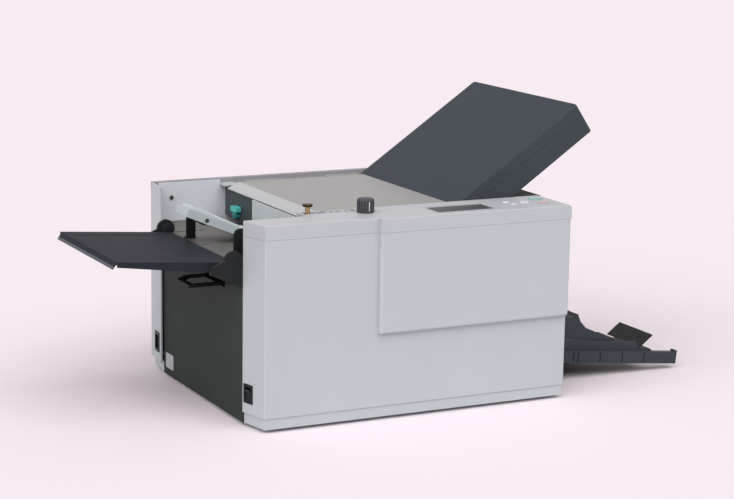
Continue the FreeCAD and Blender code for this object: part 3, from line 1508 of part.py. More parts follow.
pieces = {
    "base_pan": base_pan(),
    "rubber_feet": rubber_feet(),
    "front_side_frame": side_frame(front_frame_y, [(frame_right, frame_top), (frame_front_left, frame_top)]),
    "rear_side_frame": side_frame(rear_frame_y, [
        (frame_right, rear_frame_top), (throat_wall_x, rear_frame_top),
        (throat_wall_x, throat_side_top), (frame_rear_left, throat_side_top)]),
    "tie_bars": tie_bars(),
    "front_cover": front_cover(),
    "door_panel": door_panel(),
    "control_strip": control_strip(),
    "rear_cover": rear_cover(),
    "rear_cover_rim": rear_cover_rim(),
    "left_end_panel": left_end_panel(),
    "right_end_panel": right_end_panel(),
    "throat_wall": throat_wall(),
    "feed_table": feed_table(),
    "tray_brackets": tray_brackets(),
    "roller_bearings": roller_bearings(),
    "drive_motor": drive_motor(),
    "drive_belt": drive_belt(),
    "circuit_boards": circuit_boards(),
    "display_window": display_window(),
    "adjuster_rail": adjuster_rail(),
    "switch_frame": switch_frame(),
    "power_inlet": power_inlet(),
    "screws": screws(),
    "lower_plate": lower_plate(),
    "exit_chute": exit_chute(),
    "stacker_tray": stacker_tray(),
    "top_cover": top_cover(),
    "top_cover_lip": top_cover_lip(),
    "upper_plate_cover": upper_plate_cover(),
    "upper_plate_base": upper_plate_base(),
    "upper_stop": upper_stop(),
    "lower_stop": lower_stop(),
    "feed_tray": feed_tray(),
    "front_guide": side_guide(front_guide_face, front_guide_right, -1),
    "rear_guide": side_guide(rear_guide_face, rear_guide_right, 1),
    "tray_lever": tray_lever(),
    "feed_arm": feed_arm(),
    "feed_roller": feed_roller(),
    "pressure_lever": pressure_lever(),
    "motor_pulley": motor_pulley(),
    "setting_knob": setting_knob(),
    "thumb_screw": thumb_screw(),
    "power_rocker": power_rocker(),
    "exit_arm": exit_arm(),
    "exit_roller": exit_roller(),
    "stacker_stop": stacker_stop(),
}
for number in range(4):
    pieces["fold_roller_%d" % (number + 1)] = fold_roller(number)
    pieces["fold_gear_%d" % (number + 1)] = fold_gear(number)
for key in keys:
    pieces[key] = key_cap(key)

shapes = {}
for name, shape in pieces.items():
    if isinstance(shape, list):
        shape = Part.makeCompound(shape)
    shapes[name] = shape

extent = Part.makeCompound(list(shapes.values())).optimalBoundingBox(False, False)
origin = V((extent.XMin + extent.XMax) / 2, (extent.YMin + extent.YMax) / 2, -foot_height)
print("origin in machine coordinates", round(origin.x, 3), round(origin.y, 3), origin.z)

os.makedirs("parts", exist_ok=True)
for name, shape in shapes.items():
    shape.translate(V(-origin.x, -origin.y, -origin.z))
    shape.exportStep("parts/" + name + ".step")
    print("%-18s solids %d, valid %s, volume %.0f" % (name, len(shape.Solids), shape.isValid(), shape.Volume))
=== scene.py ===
import logging
import math
from dataclasses import dataclass, field, replace
from enum import Enum
from typing import Callable, Sequence, Union

import bpy
from mathutils import Euler, Matrix, Vector


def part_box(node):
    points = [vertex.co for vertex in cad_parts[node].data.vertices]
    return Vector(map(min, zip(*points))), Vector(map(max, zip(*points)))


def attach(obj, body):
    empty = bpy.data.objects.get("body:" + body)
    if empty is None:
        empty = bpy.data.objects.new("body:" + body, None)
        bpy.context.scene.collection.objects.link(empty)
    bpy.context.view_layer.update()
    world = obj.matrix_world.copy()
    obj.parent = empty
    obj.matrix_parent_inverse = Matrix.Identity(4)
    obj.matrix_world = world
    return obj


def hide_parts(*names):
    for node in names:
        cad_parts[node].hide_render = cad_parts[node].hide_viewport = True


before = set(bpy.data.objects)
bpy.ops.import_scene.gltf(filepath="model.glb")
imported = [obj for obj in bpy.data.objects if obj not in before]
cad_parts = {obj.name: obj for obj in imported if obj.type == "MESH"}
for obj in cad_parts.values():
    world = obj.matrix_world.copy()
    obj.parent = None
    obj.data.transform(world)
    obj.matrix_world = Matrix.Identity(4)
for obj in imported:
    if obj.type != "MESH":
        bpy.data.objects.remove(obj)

LOG = logging.getLogger("paper_folder")
MM = 0.001
Rule = Callable[[Vector, Vector], bool]
Colour = tuple[float, float, float]
Place = tuple[float, float, float]


def tone(red: float, green: float, blue: float) -> Colour:
    """Turn a screen colour of 0 to 255 into linear light.

    Args:
        red: Red of the colour on screen.
        green: Green of the colour on screen.
        blue: Blue of the colour on screen.

    Returns:
        The same colour as three linear numbers.
    """
    parts = []
    for part in (red, green, blue):
        share = part / 255
        parts.append(share / 12.92 if share <= 0.04045 else ((share + 0.055) / 1.055) ** 2.4)
    return parts[0], parts[1], parts[2]


# Finishes


class Field:
    """A number that varies over a surface: one output socket with arithmetic on it."""

    def __init__(self, graph: "Graph", socket: bpy.types.NodeSocket) -> None:
        """Keep the graph that the socket belongs to."""
        self.graph = graph
        self.socket = socket

    def _maths(self, operation: str, *values: "Number") -> "Field":
        """Add one Math node and return its result."""
        node = self.graph.node("ShaderNodeMath", {"operation": operation}, dict(enumerate(values)))
        return Field(self.graph, node.outputs[0])

    def __add__(self, other: "Number") -> "Field":
        """Sum."""
        return self._maths("ADD", self, other)

    def __radd__(self, other: "Number") -> "Field":
        """Sum, number first."""
        return self._maths("ADD", other, self)

    def __sub__(self, other: "Number") -> "Field":
        """Difference."""
        return self._maths("SUBTRACT", self, other)

    def __rsub__(self, other: "Number") -> "Field":
        """Difference, number first."""
        return self._maths("SUBTRACT", other, self)

    def __mul__(self, other: "Number") -> "Field":
        """Product."""
        return self._maths("MULTIPLY", self, other)

    def __rmul__(self, other: "Number") -> "Field":
        """Product, number first."""
        return self._maths("MULTIPLY", other, self)

    def __abs__(self) -> "Field":
        """Size without sign."""
        return self._maths("ABSOLUTE", self)

    def sine(self) -> "Field":
        """Sine of the value."""
        return self._maths("SINE", self)

    def step(self, low: float, high: float) -> "Field":
        """Rise smoothly from 0 to 1 between two values.

        Args:
            low: Value at which the result is 0.
            high: Value at which the result is 1.

        Returns:
            The smoothed step.
        """
        node = self.graph.node(
            "ShaderNodeMapRange", {"interpolation_type": "SMOOTHSTEP"},
            {"Value": self, "From Min": low, "From Max": high, "To Min": 0.0, "To Max": 1.0})
        return Field(self.graph, node.outputs[0])


Number = Union[Field, float]


class Graph:
    """The node tree of one material."""

    def __init__(self, name: str) -> None:
        """Start a material with a bare principled shader.

        Args:
            name: Name of the material.
        """
        self.material = bpy.data.materials.new(name)
        self.material.use_nodes = True
        self.tree = self.material.node_tree
        self.tree.nodes.clear()
        self.shader = self.node("ShaderNodeBsdfPrincipled")
        self.output = self.node("ShaderNodeOutputMaterial", inputs={"Surface": self.shader.outputs[0]})
        self.place = self.node("ShaderNodeTexCoord").outputs["Object"]

    def node(self, kind: str, settings: dict | None = None, inputs: dict | None = None) -> bpy.types.Node:
        """Add a node, set it up, then fill or link its sockets.

        Args:
            kind: Type name of the node.
            settings: Properties of the node, set first.
            inputs: Socket names or numbers with their values, fields or sockets.

        Returns:
            The new node.
        """
        made = self.tree.nodes.new(kind)
        for key, value in (settings or {}).items():
            setattr(made, key, value)
        for key, value in (inputs or {}).items():
            self.feed(made.inputs[key], value)
        return made

    def feed(self, socket: bpy.types.NodeSocket, value: object) -> None:
        """Link a field or socket to a socket, or set a plain value on it."""
        if isinstance(value, Field):
            value = value.socket
        if isinstance(value, bpy.types.NodeSocket):
            self.tree.links.new(value, socket)
        elif isinstance(value, tuple) and len(value) == 3 and socket.type == "RGBA":
            socket.default_value = (*value, 1.0)
        else:
            socket.default_value = value

    def axis(self, name: str) -> Field:
        """One coordinate of the place on the piece, in metres."""
        split = self.node("ShaderNodeSeparateXYZ", inputs={0: self.place})
        return Field(self, split.outputs[name])

    def stretched(self, stretch: Place) -> bpy.types.NodeSocket:
        """Place on the piece, drawn out along the axes."""
        return self.node("ShaderNodeMapping", inputs={"Vector": self.place, "Scale": stretch}).outputs[0]

    def grain(self, size: float, detail: float = 3.0, stretch: Place = (1.0, 1.0, 1.0)) -> Field:
        """Cloudy noise around 0.5.

        Args:
            size: Size of a grain in millimetres.
            detail: How much finer structure it has.
            stretch: Scale along each axis, below 1 for a longer grain.

        Returns:
            The noise as a field.
        """
        node = self.node("ShaderNodeTexNoise", inputs={
            "Vector": self.stretched(stretch), "Scale": 1 / (size * MM), "Detail": detail, "Roughness": 0.55})
        return Field(self, node.outputs["Fac"])

    def pebbles(self, size: float) -> Field:
        """Distance to the nearest of scattered points, for a moulded leather grain."""
        node = self.node("ShaderNodeTexVoronoi", {"feature": "SMOOTH_F1"}, {
            "Vector": self.place, "Scale": 1 / (size * MM), "Smoothness": 0.6})
        return Field(self, node.outputs["Distance"])

    def mix(self, share: Number, first: object, second: object) -> bpy.types.NodeSocket:
        """Blend two colours.

        Args:
            share: How much of the second colour, 0 to 1.
            first: Colour or socket at 0.
            second: Colour or socket at 1.

        Returns:
            The colour socket.
        """
        node = self.node("ShaderNodeMix", {"data_type": "RGBA"})
        self.feed(node.inputs[0], share)
        self.feed(node.inputs[6], first)
        self.feed(node.inputs[7], second)
        return node.outputs[2]

    def shade(self, colour: object, amount: Number) -> bpy.types.NodeSocket:
        """Multiply a colour by a number that varies."""
        node = self.node("ShaderNodeVectorMath", {"operation": "SCALE"})
        if isinstance(colour, tuple):
            node.inputs[0].default_value = colour
        else:
            self.feed(node.inputs[0], colour)
        self.feed(node.inputs["Scale"], amount)
        return node.outputs[0]

    def edges(self, width: float) -> Field:
        """Mask of the piece's sharp edges.

        Args:
            width: Reach from the edge in millimetres.

        Returns:
            0 on flat faces, rising towards 1 at an edge.
        """
        soft = self.node("ShaderNodeBevel", {"samples": 6}, {"Radius": width * MM})
        plain = self.node("ShaderNodeNewGeometry")
        dot = self.node("ShaderNodeVectorMath", {"operation": "DOT_PRODUCT"}, {
            0: soft.outputs[0], 1: plain.outputs["True Normal"]})
        return (1.0 - Field(self, dot.outputs["Value"])).step(0.02, 0.30)

    def relief(self, height: Number, depth: float, rounding: float = 0.4) -> None:
        """Give the surface a fine relief and soft edges.

        Args:
            height: Field from 0 to 1.
            depth: Depth of the relief in millimetres.
            rounding: Radius of the softened edges in millimetres.
        """
        soft = self.node("ShaderNodeBevel", {"samples": 6}, {"Radius": rounding * MM})
        bump = self.node("ShaderNodeBump", inputs={
            "Strength": 1.0, "Distance": depth * MM, "Height": height, "Normal": soft.outputs[0]})
        self.feed(self.shader.inputs["Normal"], bump.outputs[0])

    def set(self, **values: object) -> None:
        """Set sockets of the shader by name, an underscore standing for a space."""
        for key, value in values.items():
            self.feed(self.shader.inputs[key.replace("_", " ")], value)


@dataclass(frozen=True)
class Zone:
    """A box on a piece, in metres, where its finish has another colour."""

    low: Vector
    high: Vector
    colour: Colour
    blur: float = 0.3

    @classmethod
    def of_node(cls, node: str, colour: Colour, **limits: float) -> "Zone":
        """Take a node's box, a little enlarged, and cut it at some limits.

        Args:
            node: Name of the node.
            colour: Colour in the zone.
            limits: Places in metres, named low_x to high_z.

        Returns:
            The zone.
        """
        low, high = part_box(node)
        corners = {"low": low - Vector((MM, MM, MM)), "high": high + Vector((MM, MM, MM))}
        for name, limit in limits.items():
            side, axis = name.split("_")
            setattr(corners[side], axis, limit)
        return cls(corners["low"], corners["high"], colour)

    def over(self, graph: Graph, base: object) -> bpy.types.NodeSocket:
        """Lay the zone's colour over another.

        Args:
            graph: Node tree of the finish.
            base: Colour or socket outside the box.

        Returns:
            The colour socket.
        """
        inside: Number = 1.0
        for name, low, high in zip("XYZ", self.low, self.high):
            place = graph.axis(name)
            inside = (place - low).step(-self.blur * MM, self.blur * MM) * inside
            inside = (high - place).step(-self.blur * MM, self.blur * MM) * inside
        return graph.mix(inside, base, self.colour)


@dataclass(frozen=True)
class Paint:
    """Powder-coated sheet steel: fine orange peel, faint mottling, edges rubbed a little."""

    name: str
    colour: Colour
    roughness: float = 0.42
    peel: float = 1.1
    depth: float = 0.05
    mottle: float = 0.05
    edge: float = 1.06
    gloss: float = 0.25
    zone: Zone | None = None

    def material(self) -> bpy.types.Material:
        """Build the finish."""
        graph = Graph(self.name)
        cloud = graph.grain(90.0, 2.0)
        speck = graph.grain(0.6, 2.0)
        peel = graph.grain(self.peel, 2.0)
        rubbed = graph.edges(0.9) * graph.grain(14.0, 4.0).step(0.35, 0.7)
        level = 1.0 + (cloud - 0.5) * self.mottle + (speck - 0.5) * 0.06
        base = self.zone.over(graph, self.colour) if self.zone else self.colour
        colour = graph.shade(base, level + rubbed * (0.5 * (self.edge - 1.0)))
        graph.set(Base_Color=colour, Roughness=self.roughness + (peel - 0.5) * 0.10 + (cloud - 0.5) * 0.08,
                  Specular_IOR_Level=self.gloss)
        graph.relief(peel + speck * 0.3, self.depth)
        return graph.material


@dataclass(frozen=True)
class Moulded:
    """Moulded plastic: pebbled grain, edges painted paler, partly as wear and partly as a painted highlight.
    """

    name: str
    colour: Colour
    roughness: float = 0.5
    grain: float = 0.7
    depth: float = 0.05
    # How much paler the edges are painted: a painted highlight mixed with some wear.
    edge: float = 1.25
    coat: float = 0.0
    gloss: float = 0.15
    zone: Zone | None = None

    def material(self) -> bpy.types.Material:
        """Build the finish."""
        graph = Graph(self.name)
        pebble = graph.pebbles(self.grain)
        cloud = graph.grain(45.0, 4.0)
        fine = graph.grain(0.25, 2.0)
        # Paler edges: a painted edge highlight, mixed with patchy wear.
        painted_edge_highlight_and_wear = graph.edges(0.7) * (0.4 + 0.6 * graph.grain(9.0, 3.0).step(0.35, 0.65))
        level = 1.0 + (cloud - 0.5) * 0.14 + (pebble - 0.4) * 0.10
        base = self.zone.over(graph, self.colour) if self.zone else self.colour
        colour = graph.shade(base, level + painted_edge_highlight_and_wear * (0.6 * (self.edge - 1.0)))
        graph.set(Base_Color=colour, Roughness=self.roughness + (cloud - 0.5) * 0.12 + (fine - 0.5) * 0.05,
                  Coat_Weight=self.coat, Coat_Roughness=0.2, Specular_IOR_Level=self.gloss)
        graph.relief(pebble + fine * 0.2, self.depth)
        return graph.material


@dataclass(frozen=True)
class Metal:
    """Bare or plated metal with a drawn grain and a dull film."""

    name: str
    colour: Colour
    roughness: float = 0.32
    stretch: Place = (1.0, 1.0, 1.0)
    grain: float = 0.8
    film: Colour = (0.30, 0.29, 0.27)
    zone: Zone | None = None

    def material(self) -> bpy.types.Material:
        """Build the finish."""
        graph = Graph(self.name)
        drawn = graph.grain(self.grain, 4.0, self.stretch)
        patch = graph.grain(22.0, 5.0)
        dull = patch.step(0.45, 0.75) * 0.45
        base = self.zone.over(graph, self.colour) if self.zone else self.colour
        colour = graph.mix(dull, graph.shade(base, 0.9 + drawn * 0.2), self.film)
        graph.set(Base_Color=colour, Metallic=1.0 - dull * 0.5,
                  Roughness=self.roughness + (drawn - 0.5) * 0.14 + dull * 0.3)
        graph.relief(drawn, 0.02, 0.25)
        return graph.material


@dataclass(frozen=True)
class Rubber:
    """Ground rubber with fine turning rings along its axis."""

    name: str
    colour: Colour
    ring: float = 0.8

    def material(self) -> bpy.types.Material:
        """Build the finish."""
        graph = Graph(self.name)
        rings = (graph.axis("Y") * (2 * math.pi / (self.ring * MM))).sine() * 0.5 + 0.5
        dust = graph.grain(12.0, 5.0).step(0.42, 0.75)
        fine = graph.grain(0.3, 2.0)
        colour = graph.mix(dust * 0.4, graph.shade(self.colour, 0.85 + fine * 0.3), tone(126, 124, 120))
        graph.set(Base_Color=colour, Roughness=0.68 + dust * 0.2, Specular_IOR_Level=0.35)
        graph.relief(rings * 0.6 + fine * 0.4, 0.04)
        return graph.material


@dataclass(frozen=True)
class Window:
    """Liquid-crystal window: a dark border and a greener field under clear glass."""

    name: str
    low: Vector
    high: Vector
    border: Colour = tone(42, 46, 50)
    field_colour: Colour = tone(62, 67, 70)

    def material(self) -> bpy.types.Material:
        """Build the finish."""
        graph = Graph(self.name)
        inside: Number = 1.0
        for name, low, high in (("X", self.low.x, self.high.x), ("Y", self.low.y, self.high.y)):
            reach = (high - low) / 2 - 5 * MM
            away = abs(graph.axis(name) - (low + high) / 2)
            inside = (1.0 - away.step(reach - 0.3 * MM, reach + 0.3 * MM)) * inside
        haze = graph.grain(30.0, 3.0)
        dots = ((graph.axis("X") * 3600.0).sine() * (graph.axis("Y") * 3600.0).sine()) * 0.04
        colour = graph.mix(inside, self.border, self.field_colour)
        graph.set(Base_Color=graph.shade(colour, 0.96 + haze * 0.1 + dots), Roughness=0.30 + haze * 0.08,
                  Coat_Weight=0.10, Coat_Roughness=0.08, Specular_IOR_Level=0.2)
        graph.relief(haze, 0.01, 0.3)
        return graph.material


@dataclass(frozen=True)
class Board:
    """Circuit board: solder mask over copper tracks, with tinned pads."""

    name: str
    mask: Colour = tone(24, 92, 58)
    track: Colour = tone(52, 132, 84)
    pad: Colour = tone(190, 188, 180)

    def material(self) -> bpy.types.Material:
        """Build the finish."""
        graph = Graph(self.name)
        grid = graph.node("ShaderNodeTexBrick", inputs={
            "Vector": graph.place, "Scale": 180.0, "Mortar Size": 0.03, "Color1": (0.0, 0.0, 0.0),
            "Color2": (0.25, 0.25, 0.25), "Mortar": (1.0, 1.0, 1.0)})
        tracks = Field(graph, grid.outputs["Fac"])
        pads = 1.0 - graph.pebbles(7.0).step(0.10, 0.16)
        colour = graph.mix(tracks, self.mask, self.track)
        colour = graph.mix(pads, colour, self.pad)
        graph.set(Base_Color=colour, Roughness=0.35 + tracks * 0.1, Metallic=pads * 0.8)
        graph.relief(tracks + pads, 0.03, 0.2)
        return graph.material


@dataclass(frozen=True)
class PaintedFootShade:
    """Bright plastic with painted shade towards its foot."""

    name: str
    upper: Colour
    lower: Colour
    middle: float
    reach: float = 0.006

    def material(self) -> bpy.types.Material:
        """Build the finish."""
        graph = Graph(self.name)
        # The lower part is darkened as painted shade.
        share = graph.axis("Z").step(self.middle - self.reach, self.middle + self.reach)
        fine = graph.grain(0.4, 3.0)
        colour = graph.mix(share, self.lower, self.upper)
        graph.set(Base_Color=graph.shade(colour, 0.92 + fine * 0.16), Roughness=0.28 + fine * 0.1,
                  Coat_Weight=0.3, Coat_Roughness=0.1)
        graph.relief(fine, 0.02)
        return graph.material


@dataclass(frozen=True)
class SplitPaint:
    """Satin paint in one colour up to a depth and in another behind it."""

    name: str
    front: Colour
    rear: Colour
    split: float
    roughness: float = 0.45

    def material(self) -> bpy.types.Material:
        """Build the finish."""
        graph = Graph(self.name)
        share = graph.axis("Y").step(self.split - 0.2 * MM, self.split + 0.2 * MM)
        cloud = graph.grain(40.0, 3.0)
        peel = graph.grain(1.0, 2.0)
        colour = graph.mix(share, self.front, self.rear)
        graph.set(Base_Color=graph.shade(colour, 0.95 + cloud * 0.1),
                  Roughness=self.roughness + (peel - 0.5) * 0.1, Specular_IOR_Level=0.2)
        graph.relief(peel, 0.04)
        return graph.material


Finish = Union[Paint, Moulded, Metal, Rubber, Window, Board, PaintedFootShade, SplitPaint]


class Shop:
    """Keeps each finish's material, so that it is made once."""

    _made: dict[str, bpy.types.Material] = {}

    @classmethod
    def material(cls, finish: Finish) -> bpy.types.Material:
        """Give the material of a finish, made at its first use."""
        if finish.name not in cls._made:
            cls._made[finish.name] = finish.material()
        return cls._made[finish.name]

    @classmethod
    def coat(cls, piece: bpy.types.Object, finish: Finish) -> None:
        """Put a finish on every slot of a piece."""
        material = cls.material(finish)
        if not piece.material_slots:
            piece.data.materials.append(material)
        for slot in piece.material_slots:
            slot.material = material


CASING = Paint("casing_powder_coat", tone(188, 190, 195), 0.45)
BAND = Paint("band_powder_coat", tone(186, 188, 193), 0.45)
LIP = Paint("lip_powder_coat", tone(184, 186, 187), 0.45)
# Darker grey on the rear cover's rim: painted shade for the top that slopes away to the rear.
RIM_PAINTED_SHADE = Paint("rim_painted_shade", tone(155, 153, 158), 0.45)
TOP = Paint("top_cover_paint", tone(151, 151, 149), 0.42, peel=1.6)
END = Paint("dark_end_paint", tone(50, 53, 52), 0.60, peel=0.8, depth=0.08, edge=1.3, gloss=0.12)
WALL = Paint("pale_wall_paint", tone(220, 223, 230), 0.45)
# Feed table colour darkened as painted shade for the shadowed floor of the throat.
TABLE_WITH_PAINTED_SHADE = Paint("table_paint_with_painted_shade", tone(100, 99, 95), 0.50)
ARM = Paint("arm_paint", tone(186, 196, 200), 0.42)
PLATE = Moulded("charcoal_plate", tone(65, 71, 77), 0.60, grain=0.9, gloss=0.05)
STACKER = Moulded("stacker_plastic", tone(60, 64, 70), 0.55)
TRAY = Moulded("tray_plastic", tone(42, 46, 52), 0.60, grain=0.5, depth=0.02, gloss=0.05)
# edge=1.5 on these black mouldings paints a strong edge highlight.
BLACK = Moulded("black_plastic", tone(34, 36, 37), 0.50, edge=1.5)
LOOP = Moulded("loop_plastic", tone(18, 19, 15), 0.50, edge=1.5)
SWITCH = Moulded("switch_plastic", tone(24, 27, 31), 0.35, grain=0.3, depth=0.02, edge=1.5)
KNOB = Moulded("knob_plastic", tone(74, 74, 79), 0.50, grain=0.4)
KNOB_MARK = Moulded("knob_mark", tone(214, 214, 214), 0.5, grain=0.3)
GEAR = Moulded("gear_acetal", tone(224, 221, 210), 0.40, grain=0.4, edge=1.05, gloss=0.4)
KEY_PALE = Moulded("key_pale", tone(222, 222, 230), 0.35, 0.3, 0.01, 1.03, coat=0.2, gloss=0.3)
KEY_GREEN = Moulded("key_green", tone(150, 186, 184), 0.35, 0.3, 0.01, 1.05, coat=0.2, gloss=0.3)
KEY_RED = Moulded("key_red", tone(206, 176, 174), 0.35, 0.3, 0.01, 1.05, coat=0.2, gloss=0.3)
ZINC = Metal("zinc_plate", (0.62, 0.62, 0.60), 0.34)
DARK_SCREW = Metal("browned_screw", (0.10, 0.09, 0.08), 0.45, film=(0.05, 0.045, 0.04))
BRASS = Metal("worn_brass", (0.50, 0.36, 0.16), 0.35, film=(0.13, 0.09, 0.05))
BRONZE = Metal("sintered_bronze", (0.50, 0.34, 0.18), 0.45, grain=0.4)
MOTOR = Paint("motor_paint", tone(40, 41, 43), 0.45)
ROLLER = Rubber("roller_rubber", tone(88, 88, 90))
FEED_RUBBER = Rubber("feed_rubber", tone(52, 52, 54), 1.2)
FEET = Rubber("foot_rubber", tone(38, 38, 38))
BELT = Rubber("belt_rubber", tone(30, 30, 31))
PLAIN_PLATE = Paint("bare_plate_paint", tone(176, 176, 181), 0.35, peel=0.5, depth=0.02)
BROWN = (0.05, 0.035, 0.02)
# Paler strip on the feed tray's outer end: a painted highlight.
PAINTED_EDGE_HIGHLIGHT = tone(92, 96, 102)
# Near-black colour for the stacker's bed behind its cheeks: painted shade.
BED_PAINTED_SHADE = tone(27, 29, 33)


# Modelling moves


class Axis(Enum):
    """Direction that a round piece points along, as the turn of a standing drum."""

    X = (0.0, math.pi / 2, 0.0)
    Y = (math.pi / 2, 0.0, 0.0)
    Z = (0.0, 0.0, 0.0)


class Select(Enum):
    """What an edit acts on."""

    EDGE = (False, True, False)
    FACE = (False, False, True)


class Bench:
    """Modelling moves that the sub-assemblies share."""

    @staticmethod
    def _settle(name: str) -> bpy.types.Object:
        """Name the new primitive and put its place, turn and scale into its mesh."""
        piece = bpy.context.active_object
        piece.name = name
        piece.data.name = name
        bpy.ops.object.transform_apply(location=True, rotation=True, scale=True)
        return piece

    @classmethod
    def block(cls, name: str, low: Vector, high: Vector) -> bpy.types.Object:
        """Start a piece as a block between two corners.

        Args:
            name: Name of the piece.
            low: Lowest corner in metres.
            high: Highest corner in metres.

        Returns:
            The new piece.
        """
        bpy.ops.object.select_all(action="DESELECT")
        bpy.ops.mesh.primitive_cube_add(size=1, location=(low + high) / 2, scale=high - low)
        return cls._settle(name)

    @classmethod
    def drum(cls, name: str, centre: Vector, radius: float, depth: float, turn: Sequence[float],
             sides: int = 48) -> bpy.types.Object:
        """Start a piece as a drum around a centre.

        Args:
            name: Name of the piece.
            centre: Middle of the drum in metres.
            radius: Its radius.
            depth: Its length.
            turn: Rotation of a standing drum.
            sides: Number of faces around it.

        Returns:
            The new piece.
        """
        bpy.ops.object.select_all(action="DESELECT")
        bpy.ops.mesh.primitive_cylinder_add(
            vertices=sides, radius=radius, depth=depth, location=centre, rotation=turn)
        return cls._settle(name)

    @staticmethod
    def edit(piece: bpy.types.Object, what: Select, rule: Rule) -> None:
        """Enter edit mode with the edges or faces selected that pass a rule.

        Args:
            piece: The piece to edit.
            what: Edges or faces.
            rule: Given the middle, and the edge's direction or the face's normal.
        """
        bpy.ops.object.select_all(action="DESELECT")
        bpy.context.view_layer.objects.active = piece
        piece.select_set(True)
        mesh = piece.data
        for parts in (mesh.vertices, mesh.edges, mesh.polygons):
            parts.foreach_set("select", [False] * len(parts))
        if what is Select.FACE:
            for face in mesh.polygons:
                face.select = rule(face.center, face.normal)
                for index in face.vertices if face.select else ():
                    mesh.vertices[index].select = True
        else:
            for edge in mesh.edges:
                first, second = (mesh.vertices[index].co for index in edge.vertices)
                edge.select = rule((first + second) / 2, (second - first).normalized())
                for index in edge.vertices if edge.select else ():
                    mesh.vertices[index].select = True
        bpy.context.tool_settings.mesh_select_mode = what.value
        bpy.ops.object.mode_set(mode="EDIT")

    @staticmethod
    def done(angle: float = 35.0) -> None:
        """Leave edit mode and smooth what is nearly flat."""
        bpy.ops.object.mode_set(mode="OBJECT")
        bpy.ops.object.shade_smooth_by_angle(angle=math.radians(angle))

    @classmethod
    def bevel(cls, piece: bpy.types.Object, width: float, rule: Rule, segments: int = 3) -> None:
        """Round the edges that pass a rule.

        Args:
            piece: The piece to edit.
            width: Width of the bevel in millimetres.
            rule: Given each edge's middle and direction.
            segments: Steps across the round.
        """
        cls.edit(piece, Select.EDGE, rule)
        bpy.ops.mesh.bevel(offset=width * MM, segments=segments, affect="EDGES", clamp_overlap=True)
        cls.done()

    @classmethod
    def sink(cls, piece: bpy.types.Object, rule: Rule, border: float, depth: float) -> None:
        """Inset the faces that pass a rule and push them in, or out for a negative depth.

        Args:
            piece: The piece to edit.
            rule: Given each face's middle and normal.
            border: Width of the border left round them in millimetres.
            depth: How far they go in, in millimetres.
        """
        cls.edit(piece, Select.FACE, rule)
        bpy.ops.mesh.inset(thickness=border * MM, depth=-depth * MM)
        cls.done()

    @staticmethod
    def copy(piece: bpy.types.Object, name: str, move: Vector, turn: Matrix | None = None) -> bpy.types.Object:
        """Copy a piece with its own mesh and move the mesh.

        Args:
            piece: The model piece.
            name: Name of the copy.
            move: Shift of the copy in metres.
            turn: Rotation about the origin before the shift.

        Returns:
            The copy, with its object at the origin.
        """
        twin = piece.copy()
        twin.data = piece.data.copy()
        twin.name = name
        twin.data.name = name
        bpy.context.scene.collection.objects.link(twin)
        twin.data.transform(Matrix.Translation(move) @ (turn.to_4x4() if turn else Matrix.Identity(4)))
        return twin

    @staticmethod
    def fit(piece: bpy.types.Object, body: str, slot: str, finish: Finish) -> bpy.types.Object:
        """Give a finished piece its body and finish.

        Args:
            piece: The piece.
            body: Body that it rides on.
            slot: Material slot of the record; not used.
            finish: Finish to put on it.

        Returns:
            The same piece.
        """
        Shop.coat(piece, finish)
        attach(piece, body)
        LOG.info("made %s", piece.name)
        return piece


def dress(finishes: dict[str, Finish]) -> None:
    """Give the frame's own pieces their finishes.

    Args:
        finishes: Finish of each node, by the node's name.
    """
    for name, finish in finishes.items():
        Shop.coat(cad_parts[name], finish)
        LOG.info("dressed %s", name)


@dataclass
class Datum:
    """Machine coordinates: millimetres from the casing's left, front and lower edges."""

    skirt: float = 20.0
    corner: Vector = field(default_factory=lambda: Vector(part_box("front_cover")[0]))

    def at(self, x: float, y: float, z: float) -> Vector:
        """Place in the row frame, in metres, of a point in machine coordinates."""
        return self.corner + Vector((x, y, z - self.skirt)) * MM


# Sub-assemblies


